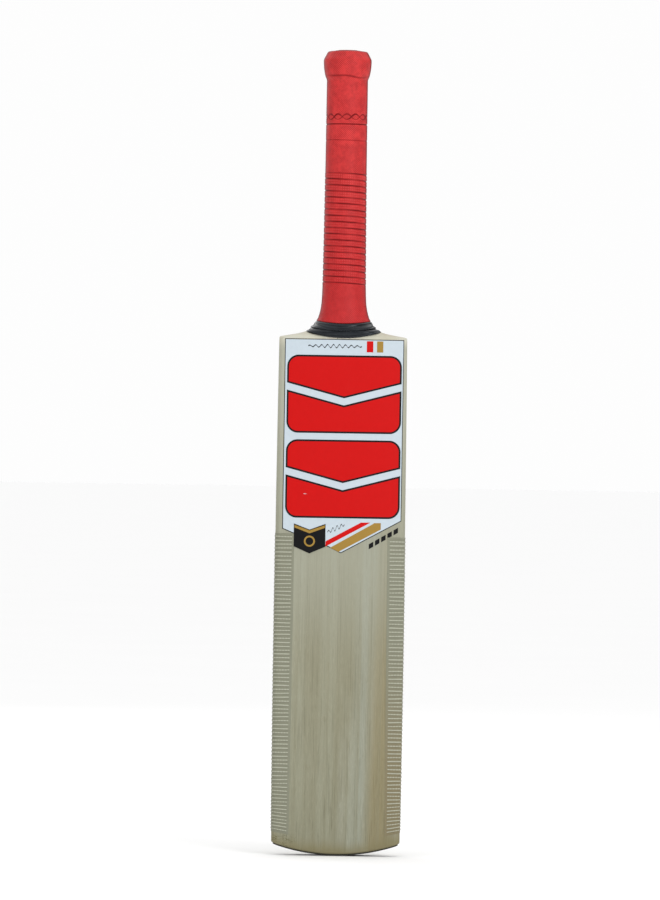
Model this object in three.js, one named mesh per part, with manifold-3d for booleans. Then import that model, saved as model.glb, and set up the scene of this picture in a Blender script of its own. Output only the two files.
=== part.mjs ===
// A cricket bat: a willow blade, a laminated cane handle spliced into it, and what is wound, pulled
// and stuck over them. Millimetres, +Z up along the bat, face towards -Y, toe resting on Z = 0.
import * as THREE from "three";
import Module from "manifold-3d";
import { mergeVertices } from "three/addons/utils/BufferGeometryUtils.js";

// Driving dimensions.
const OVERALL_LENGTH = 670;
const BLADE_WIDTH = 108;
const NECK_TOP_Z = 452; // where the blade's wood feathers out beside the handle
const SHOULDER_Z = 428; // where the parallel part of the blade ends
const TOE_BOW = 9.6; // how far the toe's corners stand above its middle
const TOE_BOW_FADE = 70; // height over which the toe's curve dies out
const FACE_BOW = 4; // how far the face dips back at half its height
const FACE_CROWN = 1.6; // how far the face falls away at its edges
const FACE_FLAT_HALF = 12; // half the width of the flat strip down the middle of the face
const FRONT_EDGE_RADIUS = 4.5;
const BACK_EDGE_RADIUS = 6;
const END_RADIUS = 2.4;
const TOE_GUARD_THICKNESS = 1.2;

const HANDLE_Y = 20; // handle axis, behind the face at the shoulders
const CANE_TOP_Z = OVERALL_LENGTH - 5;
const CAP_RADIUS = 12;
const CAP_FLAT_RADIUS = 8;
const SPLICE_TIP_Z = 318;
const SPLICE_TIP_HALF = 4.5;
const SPLICE_TOP_HALF = 15.8;
const STRIP_HALF = 4.9; // half the width of the middle column of cane
const SPRING_Y = 4.7; // each rubber spring, in front of and behind the handle axis
const SPRING_THICKNESS = 1.6;
const SPRING_FOOT_Z = 340;
const FOOT_SAG = 2.2; // how much lower the foot of the grip hangs in front and behind
const TWINE_FOOT_Z = NECK_TOP_Z + 1;
const TWINE_TOP_Z = 656;
const TWINE_THICKNESS = 0.8;

const GAP = 0.3; // clearance that stands for each glue line
const LABEL_THICKNESS = 0.25;
const TAPE_THICKNESS = 0.5;
const TAPE_FOOT_Z = 13.4;
const TAPE_TOP_Z = 267;

// Resolution.
const BLADE_COLUMNS = 20;
const ROUND_COLUMNS = 14;

const WILLOW = { color: 0xcfc09a, roughness: 0.6, metalness: 0 };
const CANE = { color: 0xc9a871, roughness: 0.7, metalness: 0 };
const SPRING_RUBBER = { color: 0x4a3a30, roughness: 0.9, metalness: 0 };
const TWINE = { color: 0xd8cdb4, roughness: 0.9, metalness: 0 };
const GRIP_RUBBER = { color: 0xcd373c, roughness: 0.55, metalness: 0 };
const BLACK_TAPE = { color: 0x1b2226, roughness: 0.3, metalness: 0 };
const WHITE_VINYL = { color: 0xd6dfe8, roughness: 0.35, metalness: 0 };
const RED_VINYL = { color: 0xd70f0f, roughness: 0.35, metalness: 0 };
const BLACK_VINYL = { color: 0x141414, roughness: 0.35, metalness: 0 };
const RIBBED_TAPE = { color: 0xb4b4a0, roughness: 0.7, metalness: 0 };
const GUARD_RUBBER = { color: 0x4c4639, roughness: 0.8, metalness: 0 };

const wasm = await Module();
wasm.setup();
const bat = new THREE.Group();

// A smooth curve through [height, value] pairs: cubic pieces whose slope at each pair is that of the
// line between its neighbours.
function curveThrough(pairs) {
  const last = pairs.length - 1;
  const slopes = pairs.map((_, i) => {
    const [z0, v0] = pairs[Math.max(i - 1, 0)];
    const [z1, v1] = pairs[Math.min(i + 1, last)];
    return (v1 - v0) / (z1 - z0);
  });
  return (z) => {
    let i = 0;
    while (i < last - 1 && z > pairs[i + 1][0]) i += 1;
    const [z0, v0] = pairs[i];
    const [z1, v1] = pairs[i + 1];
    const t = Math.min(Math.max((z - z0) / (z1 - z0), 0), 1);
    const span = z1 - z0;
    const rise = v1 - v0;
    const a = slopes[i] * span - rise;
    const b = rise - slopes[i + 1] * span;
    return v0 + t * rise + t * (1 - t) * (a * (1 - t) + b * t);
  };
}

const spineDepth = curveThrough([[0, 27], [60, 39], [150, 53], [250, 50], [350, 43], [430, 39]]);
const edgeDepth = curveThrough([[0, 16], [60, 21], [150, 26], [300, 22], [430, 15]]);
const ridgePower = curveThrough([[0, 0.75], [150, 0.85], [300, 1.1], [430, 1.6]]);

// Neck of the blade and the pieces round it, as half widths across (x) and through (y) the bat.
const neckHalfX = curveThrough([
  [430, 52.4], [431.7, 49], [434, 36], [436.7, 28.4], [439, 25.3], [441.7, 23.2], [444.5, 20.9],
  [447, 19.3], [452, 17.6],
]);
const neckHalfY = curveThrough([[430, 19.4], [437, 19.2], [444.5, 18.3], [452, 17]]);
const caneHalf = curveThrough([[440, 16.2], [452, 15.6], [461, 14.6], [478, 13.6], [665, 13.6]]);
const gripHalfX = curveThrough([
  [444.2, 23.6], [446.7, 21.7], [451.7, 20], [456.6, 19], [461.6, 18.5], [478, 17.95], [500, 17.7],
  [530, 17.45], [578, 17.2], [643, 17.2],
]);
const gripHalfY = curveThrough([
  [444.2, 21], [446.7, 20.3], [451.7, 19.4], [456.6, 18.7], [461.6, 18.3], [478, 17.9], [500, 17.7],
  [530, 17.45], [578, 17.2], [643, 17.2],
]);

// Closed mesh of the strips between neighbouring rings of points. Rings run anticlockwise seen from
// above; the outside goes up and an inside comes down.
function ringStrips(rings, closed) {
  const triangles = [];
  const steps = closed ? rings.length : rings.length - 1;
  for (let k = 0; k < steps; k += 1) {
    const low = rings[k];
    const high = rings[(k + 1) % rings.length];
    low.forEach((point, i) => {
      const next = (i + 1) % low.length;
      triangles.push(point, low[next], high[next], point, high[next], high[i]);
    });
  }
  return triangles;
}

// End face of a ring whose first half, left to right, lies in front of its second half.
function endFace(ring, facesDown) {
  const triangles = [];
  const last = ring.length - 1;
  for (let j = 0; j < (last - 1) / 2; j += 1) {
    const corners = [ring[j], ring[last - j], ring[last - j - 1], ring[j + 1]];
    const [a, b, c, d] = facesDown ? corners : corners.reverse();
    triangles.push(a, b, c, a, c, d);
  }
  return triangles;
}

function manifoldOf(geometry) {
  const bare = geometry.index ? geometry.toNonIndexed() : geometry.clone();
  bare.deleteAttribute("normal");
  bare.deleteAttribute("uv");
  const merged = mergeVertices(bare, 1e-4);
  const index = Array.from(merged.index.array);
  const kept = [];
  for (let i = 0; i < index.length; i += 3) {
    const [a, b, c] = index.slice(i, i + 3);
    if (a !== b && b !== c && c !== a) kept.push(a, b, c);
  }
  return new wasm.Manifold(new wasm.Mesh({
    numProp: 3,
    vertProperties: new Float32Array(merged.attributes.position.array),
    triVerts: new Uint32Array(kept),
  }));
}

function solidOf(triangles) {
  const geometry = new THREE.BufferGeometry();
  geometry.setAttribute("position", new THREE.Float32BufferAttribute(triangles.flat(), 3));
  return manifoldOf(geometry);
}

function loft(rings) {
  const ends = [...endFace(rings[0], true), ...endFace(rings[rings.length - 1], false)];
  return solidOf([...ringStrips(rings, false), ...ends]);
}

function tube(outside, inside) {
  return solidOf(ringStrips([...outside, ...inside.toReversed()], true));
}

function addPiece(name, manifold, finish) {
  const { vertProperties, triVerts } = manifold.getMesh();
  const geometry = new THREE.BufferGeometry();
  geometry.setAttribute("position", new THREE.BufferAttribute(vertProperties, 3));
  geometry.setIndex(new THREE.BufferAttribute(triVerts, 1));
  geometry.computeVertexNormals();
  const mesh = new THREE.Mesh(geometry, new THREE.MeshStandardMaterial(finish));
  mesh.name = name;
  bat.add(mesh);
}

// Oval ring round the handle axis: |x / halfX| to the power plus |y / halfY| to the power is one.
function ovalRing(z, halfX, halfY, power = 2, lift = () => 0) {
  const ring = [];
  for (let i = 0; i < 2 * ROUND_COLUMNS + 2; i += 1) {
    const front = i <= ROUND_COLUMNS;
    const angle = (Math.PI * (front ? i : 2 * ROUND_COLUMNS + 1 - i)) / ROUND_COLUMNS;
    const x = -Math.sign(Math.cos(angle)) * Math.abs(Math.cos(angle)) ** (2 / power) * halfX;
    const y = (front ? -1 : 1) * Math.abs(Math.sin(angle)) ** (2 / power) * halfY;
    ring.push([x, HANDLE_Y + y, z + lift(x)]);
  }
  return ring;
}

// Prism through the bat: an outline of [x, z] points, or a Shape in x and z, from one y to another.
function prism(outline, yFrom, yTo) {
  const shape = outline instanceof THREE.Shape
    ? outline
    : new THREE.Shape(outline.map(([x, z]) => new THREE.Vector2(x, z)));
  const options = { depth: yTo - yFrom, bevelEnabled: false, curveSegments: 8 };
  const geometry = new THREE.ExtrudeGeometry(shape, options);
  geometry.rotateX(Math.PI / 2);
  geometry.translate(0, yTo, 0);
  return manifoldOf(geometry);
}

function roundedRectangle(left, bottom, right, top, radius) {
  const shape = new THREE.Shape();
  shape.absarc(right - radius, bottom + radius, radius, -Math.PI / 2, 0);
  shape.absarc(right - radius, top - radius, radius, 0, Math.PI / 2);
  shape.absarc(left + radius, top - radius, radius, Math.PI / 2, Math.PI);
  shape.absarc(left + radius, bottom + radius, radius, Math.PI, 1.5 * Math.PI);
  return shape;
}

function box(xFrom, xTo, yFrom, yTo, zFrom, zTo) {
  const geometry = new THREE.BoxGeometry(xTo - xFrom, yTo - yFrom, zTo - zFrom);
  geometry.translate((xFrom + xTo) / 2, (yFrom + yTo) / 2, (zFrom + zTo) / 2);
  return manifoldOf(geometry);
}

// How far a rounded edge has fallen back at a distance inside the outline.
function edgeFall(inside, radius) {
  const over = Math.max(radius - inside, 0);
  return radius - Math.sqrt(Math.max(radius ** 2 - over ** 2, 0));
}

const bladeHalfWidth = (z) => BLADE_WIDTH / 2 - 0.8 * ((z - 200) / 229) ** 2;
const toeLift = (x, z) => TOE_BOW * (x / (BLADE_WIDTH / 2)) ** 2
  * Math.max(1 - z / TOE_BOW_FADE, 0) ** 2;

function faceY(x, z) {
  const outer = Math.max(Math.abs(x) - FACE_FLAT_HALF, 0) / (BLADE_WIDTH / 2 - FACE_FLAT_HALF);
  const fromMiddle = (2 * z) / SHOULDER_Z - 1;
  return FACE_BOW * (1 - fromMiddle ** 2) + FACE_CROWN * outer ** 2;
}

// One ring of the blade: the face left to right, then the back right to left. Above the shoulders
// it turns from the blade's section into the oval of the neck.
function bladeRing(z, grow, inset) {
  const halfWidth = bladeHalfWidth(Math.min(z, SHOULDER_Z)) - inset;
  const toNeck = Math.min(Math.max((z - SHOULDER_Z - 1) / 12, 0), 1);
  const inNeck = z > SHOULDER_Z;
  const front = [];
  const back = [];
  for (let j = 0; j <= BLADE_COLUMNS; j += 1) {
    const angle = (Math.PI * j) / BLADE_COLUMNS;
    const across = -Math.cos(angle);
    const x = across * (inNeck ? Math.min(neckHalfX(z), halfWidth) : halfWidth);
    const fromEdge = (1 - Math.abs(across)) * halfWidth;
    const ridge = (0.5 + 0.5 * Math.cos(Math.PI * across)) ** ridgePower(z);
    const depth = edgeDepth(z) + (spineDepth(z) - edgeDepth(z)) * ridge;
    const face = faceY(across * halfWidth, Math.min(z, SHOULDER_Z));
    const flatFront = face + edgeFall(fromEdge, FRONT_EDGE_RADIUS) + inset;
    const flatBack = face + depth - edgeFall(fromEdge, BACK_EDGE_RADIUS) - inset;
    const oval = neckHalfY(z) * Math.sin(angle);
    const yFront = flatFront + toNeck * (HANDLE_Y - oval - flatFront);
    const yBack = flatBack + toNeck * (HANDLE_Y + oval - flatBack);
    const xGrown = x + across * grow;
    front.push([xGrown, yFront - grow * (toNeck ? Math.sin(angle) : 1), z + toeLift(x, z)]);
    back.unshift([xGrown, yBack + grow * (toNeck ? Math.sin(angle) : 1), z + toeLift(x, z)]);
  }
  return [...front, ...back];
}

// The whole blade before the handle's socket is cut, or the same form grown all round.
function bladeForm(grow) {
  const foot = TOE_GUARD_THICKNESS + GAP;
  const rings = [];
  for (const turn of [0, 30, 60, 90]) {
    const angle = (turn * Math.PI) / 180;
    const inset = END_RADIUS * (1 - Math.sin(angle));
    rings.push(bladeRing(foot + END_RADIUS * (1 - Math.cos(angle)), grow, inset));
  }
  rings[0] = rings[0].map(([x, y, z]) => [x, y, z - grow]);
  for (let z = 20; z < SHOULDER_Z - 10; z += 28) rings.push(bladeRing(z, grow, 0));
  for (const z of [426, 428.5, 430, 431.7, 433, 434.5, 436.7, 439, 441.7, 444.5, 447]) {
    rings.push(bladeRing(z, grow, 0));
  }
  rings.push(bladeRing(NECK_TOP_Z, grow, 0).map(([x, y, z]) => [x, y, z + grow]));
  return loft(rings);
}

// Skin over the blade, between two distances from its surface.
function bladeSkin(from, thickness) {
  return bladeForm(from + thickness).subtract(bladeForm(from));
}

// V of the splice, with the clearance that its socket has round it.
function spliceWedge(clearance) {
  const top = NECK_TOP_Z + clearance;
  const tip = SPLICE_TIP_Z - clearance;
  const outline = [
    [-SPLICE_TIP_HALF - clearance, tip],
    [SPLICE_TIP_HALF + clearance, tip],
    [SPLICE_TOP_HALF + clearance, top],
    [-SPLICE_TOP_HALF - clearance, top],
  ];
  return prism(outline, -10, 80);
}

function handleForm(clearance) {
  const rings = [];
  for (const z of [445, 452, 456, 461, 469, 478, CANE_TOP_Z]) {
    const half = caneHalf(z) + clearance;
    rings.push(ovalRing(z, half, half));
  }
  return loft(rings);
}

// Nine strips of cane in three layers, with a rubber spring between each two layers. Each runs
// from the top of the handle down into the splice, which cuts it to its share of the V.
function addHandle(uncutBlade) {
  const splice = uncutBlade.intersect(spliceWedge(0));
  const core = splice.add(handleForm(0));
  const far = 100;
  const joint = GAP / 2;
  const columns = [
    ["left", -far, -STRIP_HALF - joint],
    ["middle", -STRIP_HALF + joint, STRIP_HALF - joint],
    ["right", STRIP_HALF + joint, far],
  ];
  const springEdge = SPRING_Y + SPRING_THICKNESS / 2 + joint;
  const springInner = SPRING_Y - SPRING_THICKNESS / 2 - joint;
  const layers = [
    ["front", -far, HANDLE_Y - springEdge],
    ["centre", HANDLE_Y - springInner, HANDLE_Y + springInner],
    ["back", HANDLE_Y + springEdge, far],
  ];
  for (const [layer, yFrom, yTo] of layers) {
    for (const [column, xFrom, xTo] of columns) {
      const strip = core.intersect(box(xFrom, xTo, yFrom, yTo, 0, OVERALL_LENGTH));
      addPiece(`cane_${layer}_${column}`, strip, CANE);
    }
  }
  for (const [name, side] of [["spring_front", -1], ["spring_back", 1]]) {
    const y = HANDLE_Y + side * SPRING_Y;
    const half = SPRING_THICKNESS / 2 - joint;
    const strip = core.intersect(box(-far, far, y - half, y + half, SPRING_FOOT_Z, CANE_TOP_Z));
    addPiece(name, strip, SPRING_RUBBER);
  }
}

function addBlade(uncutBlade) {
  const socket = spliceWedge(GAP).add(handleForm(GAP));
  addPiece("blade", uncutBlade.subtract(socket), WILLOW);
}

// Rubber strip glued under the toe, following its curve.
function addToeGuard() {
  const toe = bladeRing(TOE_GUARD_THICKNESS + GAP, 0, END_RADIUS);
  const rings = [GAP + TOE_GUARD_THICKNESS, GAP].map((drop) => (
    toe.map(([x, y, z]) => [x, y, z - drop])
  ));
  addPiece("toe_guard", loft(rings), GUARD_RUBBER);
}

function addTwine() {
  const heights = [TWINE_FOOT_Z, 456, 461, 469, 478, TWINE_TOP_Z];
  const ringsAt = (clearance) => heights.map((z) => {
    const half = caneHalf(z) + clearance;
    return ovalRing(z, half, half);
  });
  addPiece("twine_binding", tube(ringsAt(GAP + TWINE_THICKNESS), ringsAt(GAP)), TWINE);
}

// Sag of a wrapped edge: how far it stands higher at the sides than in front and behind.
function dip(reach, height) {
  return (x) => height * Math.min((x / reach) ** 2, 1);
}

// Rubber sleeve with a thick bead at the top, which folds over the end of the cane, and a flared
// foot that sits on the neck of the blade and sags in front and behind.
function addGrip() {
  const bead = [
    [645, 17.4], [647.5, 18.9], [650.5, 19.7], [654.5, 20.1], [661, 20], [664.3, 18.9], [666.6, 17.4],
    [668, 15.9], [669, CAP_RADIUS + GAP],
  ];
  const outside = [];
  for (const z of [444.2, 446.7, 449, 451.7, 456.6, 461.6, 469, 478, 500, 530, 578, 620, 643]) {
    const sag = FOOT_SAG * Math.max(0, 1 - (z - 444.2) / 12);
    outside.push(ovalRing(z - sag, gripHalfX(z), gripHalfY(z), 2, dip(gripHalfX(z), sag)));
  }
  for (const [z, half] of bead) outside.push(ovalRing(z, half, half));
  const inside = [];
  for (const [z, sag] of [[444.2, FOOT_SAG], [447, 1.2], [449.5, 0.4], [NECK_TOP_Z + GAP, 0]]) {
    const halfX = neckHalfX(z - sag / 2) + GAP;
    const halfY = neckHalfY(z - sag) + GAP;
    inside.push(ovalRing(z - sag, halfX, halfY, 2, dip(halfX, sag)));
  }
  for (const z of [456, 461, 469, 478, CANE_TOP_Z + GAP]) {
    const half = caneHalf(z) + TWINE_THICKNESS + 2 * GAP;
    inside.push(ovalRing(z, half, half));
  }
  const mouth = CAP_RADIUS + GAP;
  inside.push(ovalRing(CANE_TOP_Z + GAP, mouth, mouth));
  addPiece("rubber_grip", tube(outside, inside), GRIP_RUBBER);
}

// Plug that closes the mouth of the grip, domed to a small flat.
function addEndCap() {
  const profile = [
    [0, CANE_TOP_Z + GAP], [CAP_RADIUS - 0.2, CANE_TOP_Z + GAP], [CAP_RADIUS, CANE_TOP_Z + 1],
    [CAP_RADIUS, OVERALL_LENGTH - 1.1], [CAP_RADIUS - 1.6, OVERALL_LENGTH - 0.4],
    [CAP_FLAT_RADIUS, OVERALL_LENGTH], [0, OVERALL_LENGTH],
  ].map(([radius, z]) => new THREE.Vector2(radius, z));
  const geometry = new THREE.LatheGeometry(profile, 36);
  geometry.rotateX(Math.PI / 2);
  geometry.translate(0, HANDLE_Y, 0);
  addPiece("handle_end_cap", manifoldOf(geometry), GRIP_RUBBER);
}

// Two turns of black tape over the neck, both sagging in front and behind, the lower one over the
// top of the face.
function addCollar() {
  const neck = bladeForm(GAP);
  const upper = loft([
    ovalRing(436, 27.2, 22.7, 2.85, dip(27, 2.85)),
    ovalRing(437.2, 26.8, 22.9, 2.6, dip(27, 2.75)),
    ovalRing(439.4, 25, 22.4, 2.3, dip(25, 2.4)),
    ovalRing(441.7, 22.9, 21.1, 2.1, dip(22.9, 2.2)),
  ]);
  const lower = loft([
    ovalRing(430.2, 31.2, 20.9, 5, dip(31, 5.1)),
    ovalRing(431.1, 31.4, 21.7, 4.6, dip(31, 4.7)),
    ovalRing(432.4, 30.5, 22.1, 4.2, dip(31, 4.1)),
    ovalRing(434, 29, 22.3, 3.6, dip(29, 3.3)),
    ovalRing(435.7, 27, 22.1, 3, dip(27, 2.85)),
  ]);
  addPiece("upper_collar_turn", upper.subtract(neck), BLACK_TAPE);
  addPiece("lower_collar_turn", lower.subtract(neck), BLACK_TAPE);
}

// Printed vinyl on the face: a white label, two red panels on it and a badge over its corner.
function addStickers() {
  const onFace = [-10, 12];
  const labelSkin = bladeSkin(GAP, LABEL_THICKNESS);
  const overSkin = bladeSkin(2 * GAP + LABEL_THICKNESS, LABEL_THICKNESS);
  const label = [
    [-48.3, 429], [-48.3, 270.9], [-39.4, 267.2], [-11.7, 257.2], [0.7, 251.1], [50.5, 278.4],
    [50.7, 429],
  ];
  const belowCollar = prism(label, ...onFace).subtract(collarClearance());
  addPiece("face_label", labelSkin.intersect(belowCollar), WHITE_VINYL);
  const upperPanel = roundedRectangle(-46.2, 350.8, 49, 415.6, 9);
  const lowerPanel = roundedRectangle(-46.2, 280.2, 49, 345.3, 9);
  addPiece("upper_red_panel", overSkin.intersect(prism(upperPanel, ...onFace)), RED_VINYL);
  addPiece("lower_red_panel", overSkin.intersect(prism(lowerPanel, ...onFace)), RED_VINYL);
  const badge = [
    [-38.6, 256.4], [-25.8, 250.6], [-12.3, 256.4], [-12.3, 275.2], [-25.8, 270.5], [-38.6, 275.2],
  ];
  addPiece("shield_badge", overSkin.intersect(prism(badge, ...onFace)), BLACK_VINYL);
}

// Room that the label leaves under the dip of the collar.
function collarClearance() {
  const dip = (x) => 5.4 * Math.min((x / 31) ** 2, 1);
  const rings = [429.7, 445].map((z) => ovalRing(z, 32.2, 24, 5, dip));
  return loft(rings);
}

// Ribbed tape folded round each edge of the blade, from the toe to below the label.
function addEdgeTapes() {
  const skin = bladeSkin(GAP, TAPE_THICKNESS);
  const outer = BLADE_WIDTH / 2 + 5;
  const tapes = [
    ["left_edge_tape", -1, 40.3, 39.3],
    ["right_edge_tape", 1, 42, 40.5],
  ];
  for (const [name, side, footInner, topInner] of tapes) {
    const outline = [
      [side * footInner, TAPE_FOOT_Z], [side * outer, TAPE_FOOT_Z], [side * outer, TAPE_TOP_Z],
      [side * topInner, TAPE_TOP_Z],
    ];
    const wrap = prism(side > 0 ? outline : outline.toReversed(), -10, 80);
    addPiece(name, skin.intersect(wrap), RIBBED_TAPE);
  }
}

const uncutBlade = bladeForm(0);
addBlade(uncutBlade);
addToeGuard();
addHandle(uncutBlade);
addTwine();
addGrip();
addEndCap();
addCollar();
addStickers();
addEdgeTapes();

// The frame's origin is under the middle of the bat's box.
const middle = new THREE.Box3().setFromObject(bat).getCenter(new THREE.Vector3());
bat.position.set(0, -middle.y, 0);

export default bat;
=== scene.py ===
from math import pi

import bmesh
import bpy
import numpy as np
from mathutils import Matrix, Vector


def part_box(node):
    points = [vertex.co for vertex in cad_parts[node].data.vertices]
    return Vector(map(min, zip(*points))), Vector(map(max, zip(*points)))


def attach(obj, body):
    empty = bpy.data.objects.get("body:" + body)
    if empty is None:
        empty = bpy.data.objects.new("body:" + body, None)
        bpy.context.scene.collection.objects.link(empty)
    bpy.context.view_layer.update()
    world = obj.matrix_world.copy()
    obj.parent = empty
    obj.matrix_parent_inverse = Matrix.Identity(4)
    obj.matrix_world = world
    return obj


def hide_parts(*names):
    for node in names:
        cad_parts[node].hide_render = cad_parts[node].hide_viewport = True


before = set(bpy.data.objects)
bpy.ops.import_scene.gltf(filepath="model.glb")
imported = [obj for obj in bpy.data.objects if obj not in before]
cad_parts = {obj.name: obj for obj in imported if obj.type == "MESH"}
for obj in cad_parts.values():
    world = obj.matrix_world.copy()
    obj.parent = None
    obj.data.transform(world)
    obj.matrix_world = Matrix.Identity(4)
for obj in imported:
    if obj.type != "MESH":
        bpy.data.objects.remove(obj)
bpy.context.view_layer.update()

# ---------------------------------------------------------------- where things are
# Every place is worked out from the bat's own frame: the toe on Z = 0, the face towards -Y and the
# handle's axis through the plug in its end.
cap_low, cap_high = (np.array(corner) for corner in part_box("handle_end_cap"))
HANDLE_Y = (cap_low[1] + cap_high[1]) / 2
FACE_SET_BACK = 0.020  # from the face, at the shoulders, to the handle's axis
FACE_Y = HANDLE_Y - FACE_SET_BACK

# ---------------------------------------------------------------- camera
# A long lens square on to the face, tipped a little about its own axis, as the bat hangs a little
# out of plumb.
CAMERA_DISTANCE = 6.0
FRAME_HEIGHT = 0.7475  # what the camera takes in at the face, top to bottom
SENSOR = 36.0
CAMERA_X = -0.0096
CAMERA_Z = 0.3368
CAMERA_ROLL = np.radians(0.92)

camera_data = bpy.data.cameras.new("camera")
camera_data.sensor_fit = "VERTICAL"
camera_data.sensor_height = SENSOR
camera_data.lens = SENSOR * CAMERA_DISTANCE / FRAME_HEIGHT
camera = bpy.data.objects.new("camera", camera_data)
camera.location = (CAMERA_X, FACE_Y - CAMERA_DISTANCE, CAMERA_Z)
camera.rotation_euler = (pi / 2, -CAMERA_ROLL, 0)
bpy.context.scene.collection.objects.link(camera)
bpy.context.scene.camera = camera
bpy.context.scene.view_settings.view_transform = "Standard"

# ---------------------------------------------------------------- studio
# A pale matt floor that runs off into a white room lit mostly from its ceiling, with one soft box
# on each side of the camera, the right one stronger, and a weaker one behind the bat.
FLOOR_HALF = 60.0
FLOOR_DROP = 0.0004
KEY_WATTS, FILL_WATTS, BACK_WATTS = 20.0, 3.5, 9.0
CEILING, WALLS = 1.21, 0.10  # brightness of the room, above and at eye level
HORIZON = 0.985  # brightness of what is seen behind the floor

floor_mesh = bpy.data.meshes.new("studio_floor")
floor_mesh.from_pydata(
    [(x * FLOOR_HALF, y * FLOOR_HALF, -FLOOR_DROP) for x, y in ((-1, -1), (1, -1), (1, 1), (-1, 1))],
    [], [(0, 1, 2, 3)],
)
floor = bpy.data.objects.new("studio_floor", floor_mesh)
bpy.context.scene.collection.objects.link(floor)


def fill(tree, made, inputs):
    """Sets a node's sockets by name or number, each to a value or to another node's output."""
    for key, value in inputs.items():
        if isinstance(value, bpy.types.NodeSocket):
            tree.links.new(value, made.inputs[key])
        else:
            made.inputs[key].default_value = value


def node(tree, kind, inputs=None, **settings):
    """A node of this kind: settings are its own properties and inputs its sockets."""
    made = tree.nodes.new(kind)
    for key, value in settings.items():
        setattr(made, key, value)
    fill(tree, made, inputs or {})
    return made


def new_material(name):
    """An empty material's tree, its Principled shader, and the object's own coordinates."""
    made = bpy.data.materials.new(name)
    made.use_nodes = True
    tree = made.node_tree
    tree.nodes.clear()
    shader = node(tree, "ShaderNodeBsdfPrincipled")
    output = node(tree, "ShaderNodeOutputMaterial")
    tree.links.new(shader.outputs[0], output.inputs[0])
    place = node(tree, "ShaderNodeTexCoord").outputs["Object"]
    return made, tree, shader, place


def maths(tree, operation, first, second=0.0, third=0.0, clamp=False):
    """One step of arithmetic on two or three values."""
    inputs = {0: first, 1: second, 2: third}
    return node(tree, "ShaderNodeMath", inputs, operation=operation, use_clamp=clamp).outputs[0]


def colour_mix(tree, share, first, second, blend="MIX"):
    """first where share is 0 and second where it is 1."""
    inputs = {0: share, 6: first, 7: second}
    return node(tree, "ShaderNodeMix", inputs, data_type="RGBA", blend_type=blend).outputs[2]


def surface(tree, shader, colour, roughness, bump=None, specular=None):
    """Wires up a shader. bump is a height, a strength and a distance."""
    inputs = {"Base Color": colour, "Roughness": roughness}
    if bump:
        sockets = dict(zip(("Height", "Strength", "Distance"), bump))
        inputs["Normal"] = node(tree, "ShaderNodeBump", sockets).outputs[0]
    if specular is not None:
        inputs["Specular IOR Level"] = specular
    fill(tree, shader, inputs)


def axes_of(tree, place):
    """The X, Y and Z of a point or a direction."""
    return node(tree, "ShaderNodeSeparateXYZ", {0: place}).outputs


def between(tree, value, low, high):
    """0 below low, 1 above high, and a smooth rise in between; high may be under low."""
    made = node(tree, "ShaderNodeMapRange", {0: value, 1: low, 2: high}, interpolation_type="SMOOTHSTEP")
    return made.outputs[0]


def noise(tree, place, scale, detail=4.0, roughness=0.5, stretch=(1, 1, 1)):
    """Fractal noise, its place scaled by stretch first."""
    scaled = node(tree, "ShaderNodeMapping", {"Vector": place, "Scale": stretch})
    inputs = {"Vector": scaled.outputs[0], "Scale": scale, "Detail": detail, "Roughness": roughness}
    return node(tree, "ShaderNodeTexNoise", inputs).outputs["Fac"]


floor_material, tree, shader, place = new_material("floor_paint")
mottle = noise(tree, place, 3.0)
surface(tree, shader, colour_mix(tree, mottle, (0.97, 0.97, 0.97, 1), (0.99, 0.99, 0.99, 1)), 0.9)
floor_mesh.materials.append(floor_material)

world = bpy.data.worlds.new("studio_room")
bpy.context.scene.world = world
world.use_nodes = True
tree = world.node_tree
tree.nodes.clear()
seen = node(tree, "ShaderNodeBackground", {"Color": (1, 1, 1, 1), "Strength": HORIZON})
direction = node(tree, "ShaderNodeTexCoord").outputs["Generated"]
upward = axes_of(tree, direction)["Z"]
glow = maths(tree, "MULTIPLY_ADD", between(tree, upward, 0.10, 0.70), CEILING - WALLS, WALLS)
lit = node(tree, "ShaderNodeBackground", {"Color": (1, 1, 1, 1), "Strength": glow})
ray = node(tree, "ShaderNodeLightPath").outputs["Is Camera Ray"]
room = node(tree, "ShaderNodeMixShader", {0: ray, 1: lit.outputs[0], 2: seen.outputs[0]})
output = node(tree, "ShaderNodeOutputWorld")
tree.links.new(room.outputs[0], output.inputs[0])


def soft_box(name, place_at, aim, size, watts):
    """A square area light at one point, turned to face another."""
    data = bpy.data.lights.new(name, "AREA")
    data.shape = "SQUARE"
    data.size = size
    data.energy = watts
    light = bpy.data.objects.new(name, data)
    light.location = place_at
    light.rotation_euler = (Vector(aim) - Vector(place_at)).to_track_quat("-Z", "Y").to_euler()
    bpy.context.scene.collection.objects.link(light)


AIM = (0, 0, 0.35)
soft_box("key_soft_box", (1.25, -2.2, 1.05), AIM, 0.9, KEY_WATTS)
soft_box("fill_soft_box", (-1.4, -2.3, 0.7), AIM, 1.3, FILL_WATTS)
soft_box("back_soft_box", (-1.3, 2.4, 1.3), AIM, 1.5, BACK_WATTS)

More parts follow.
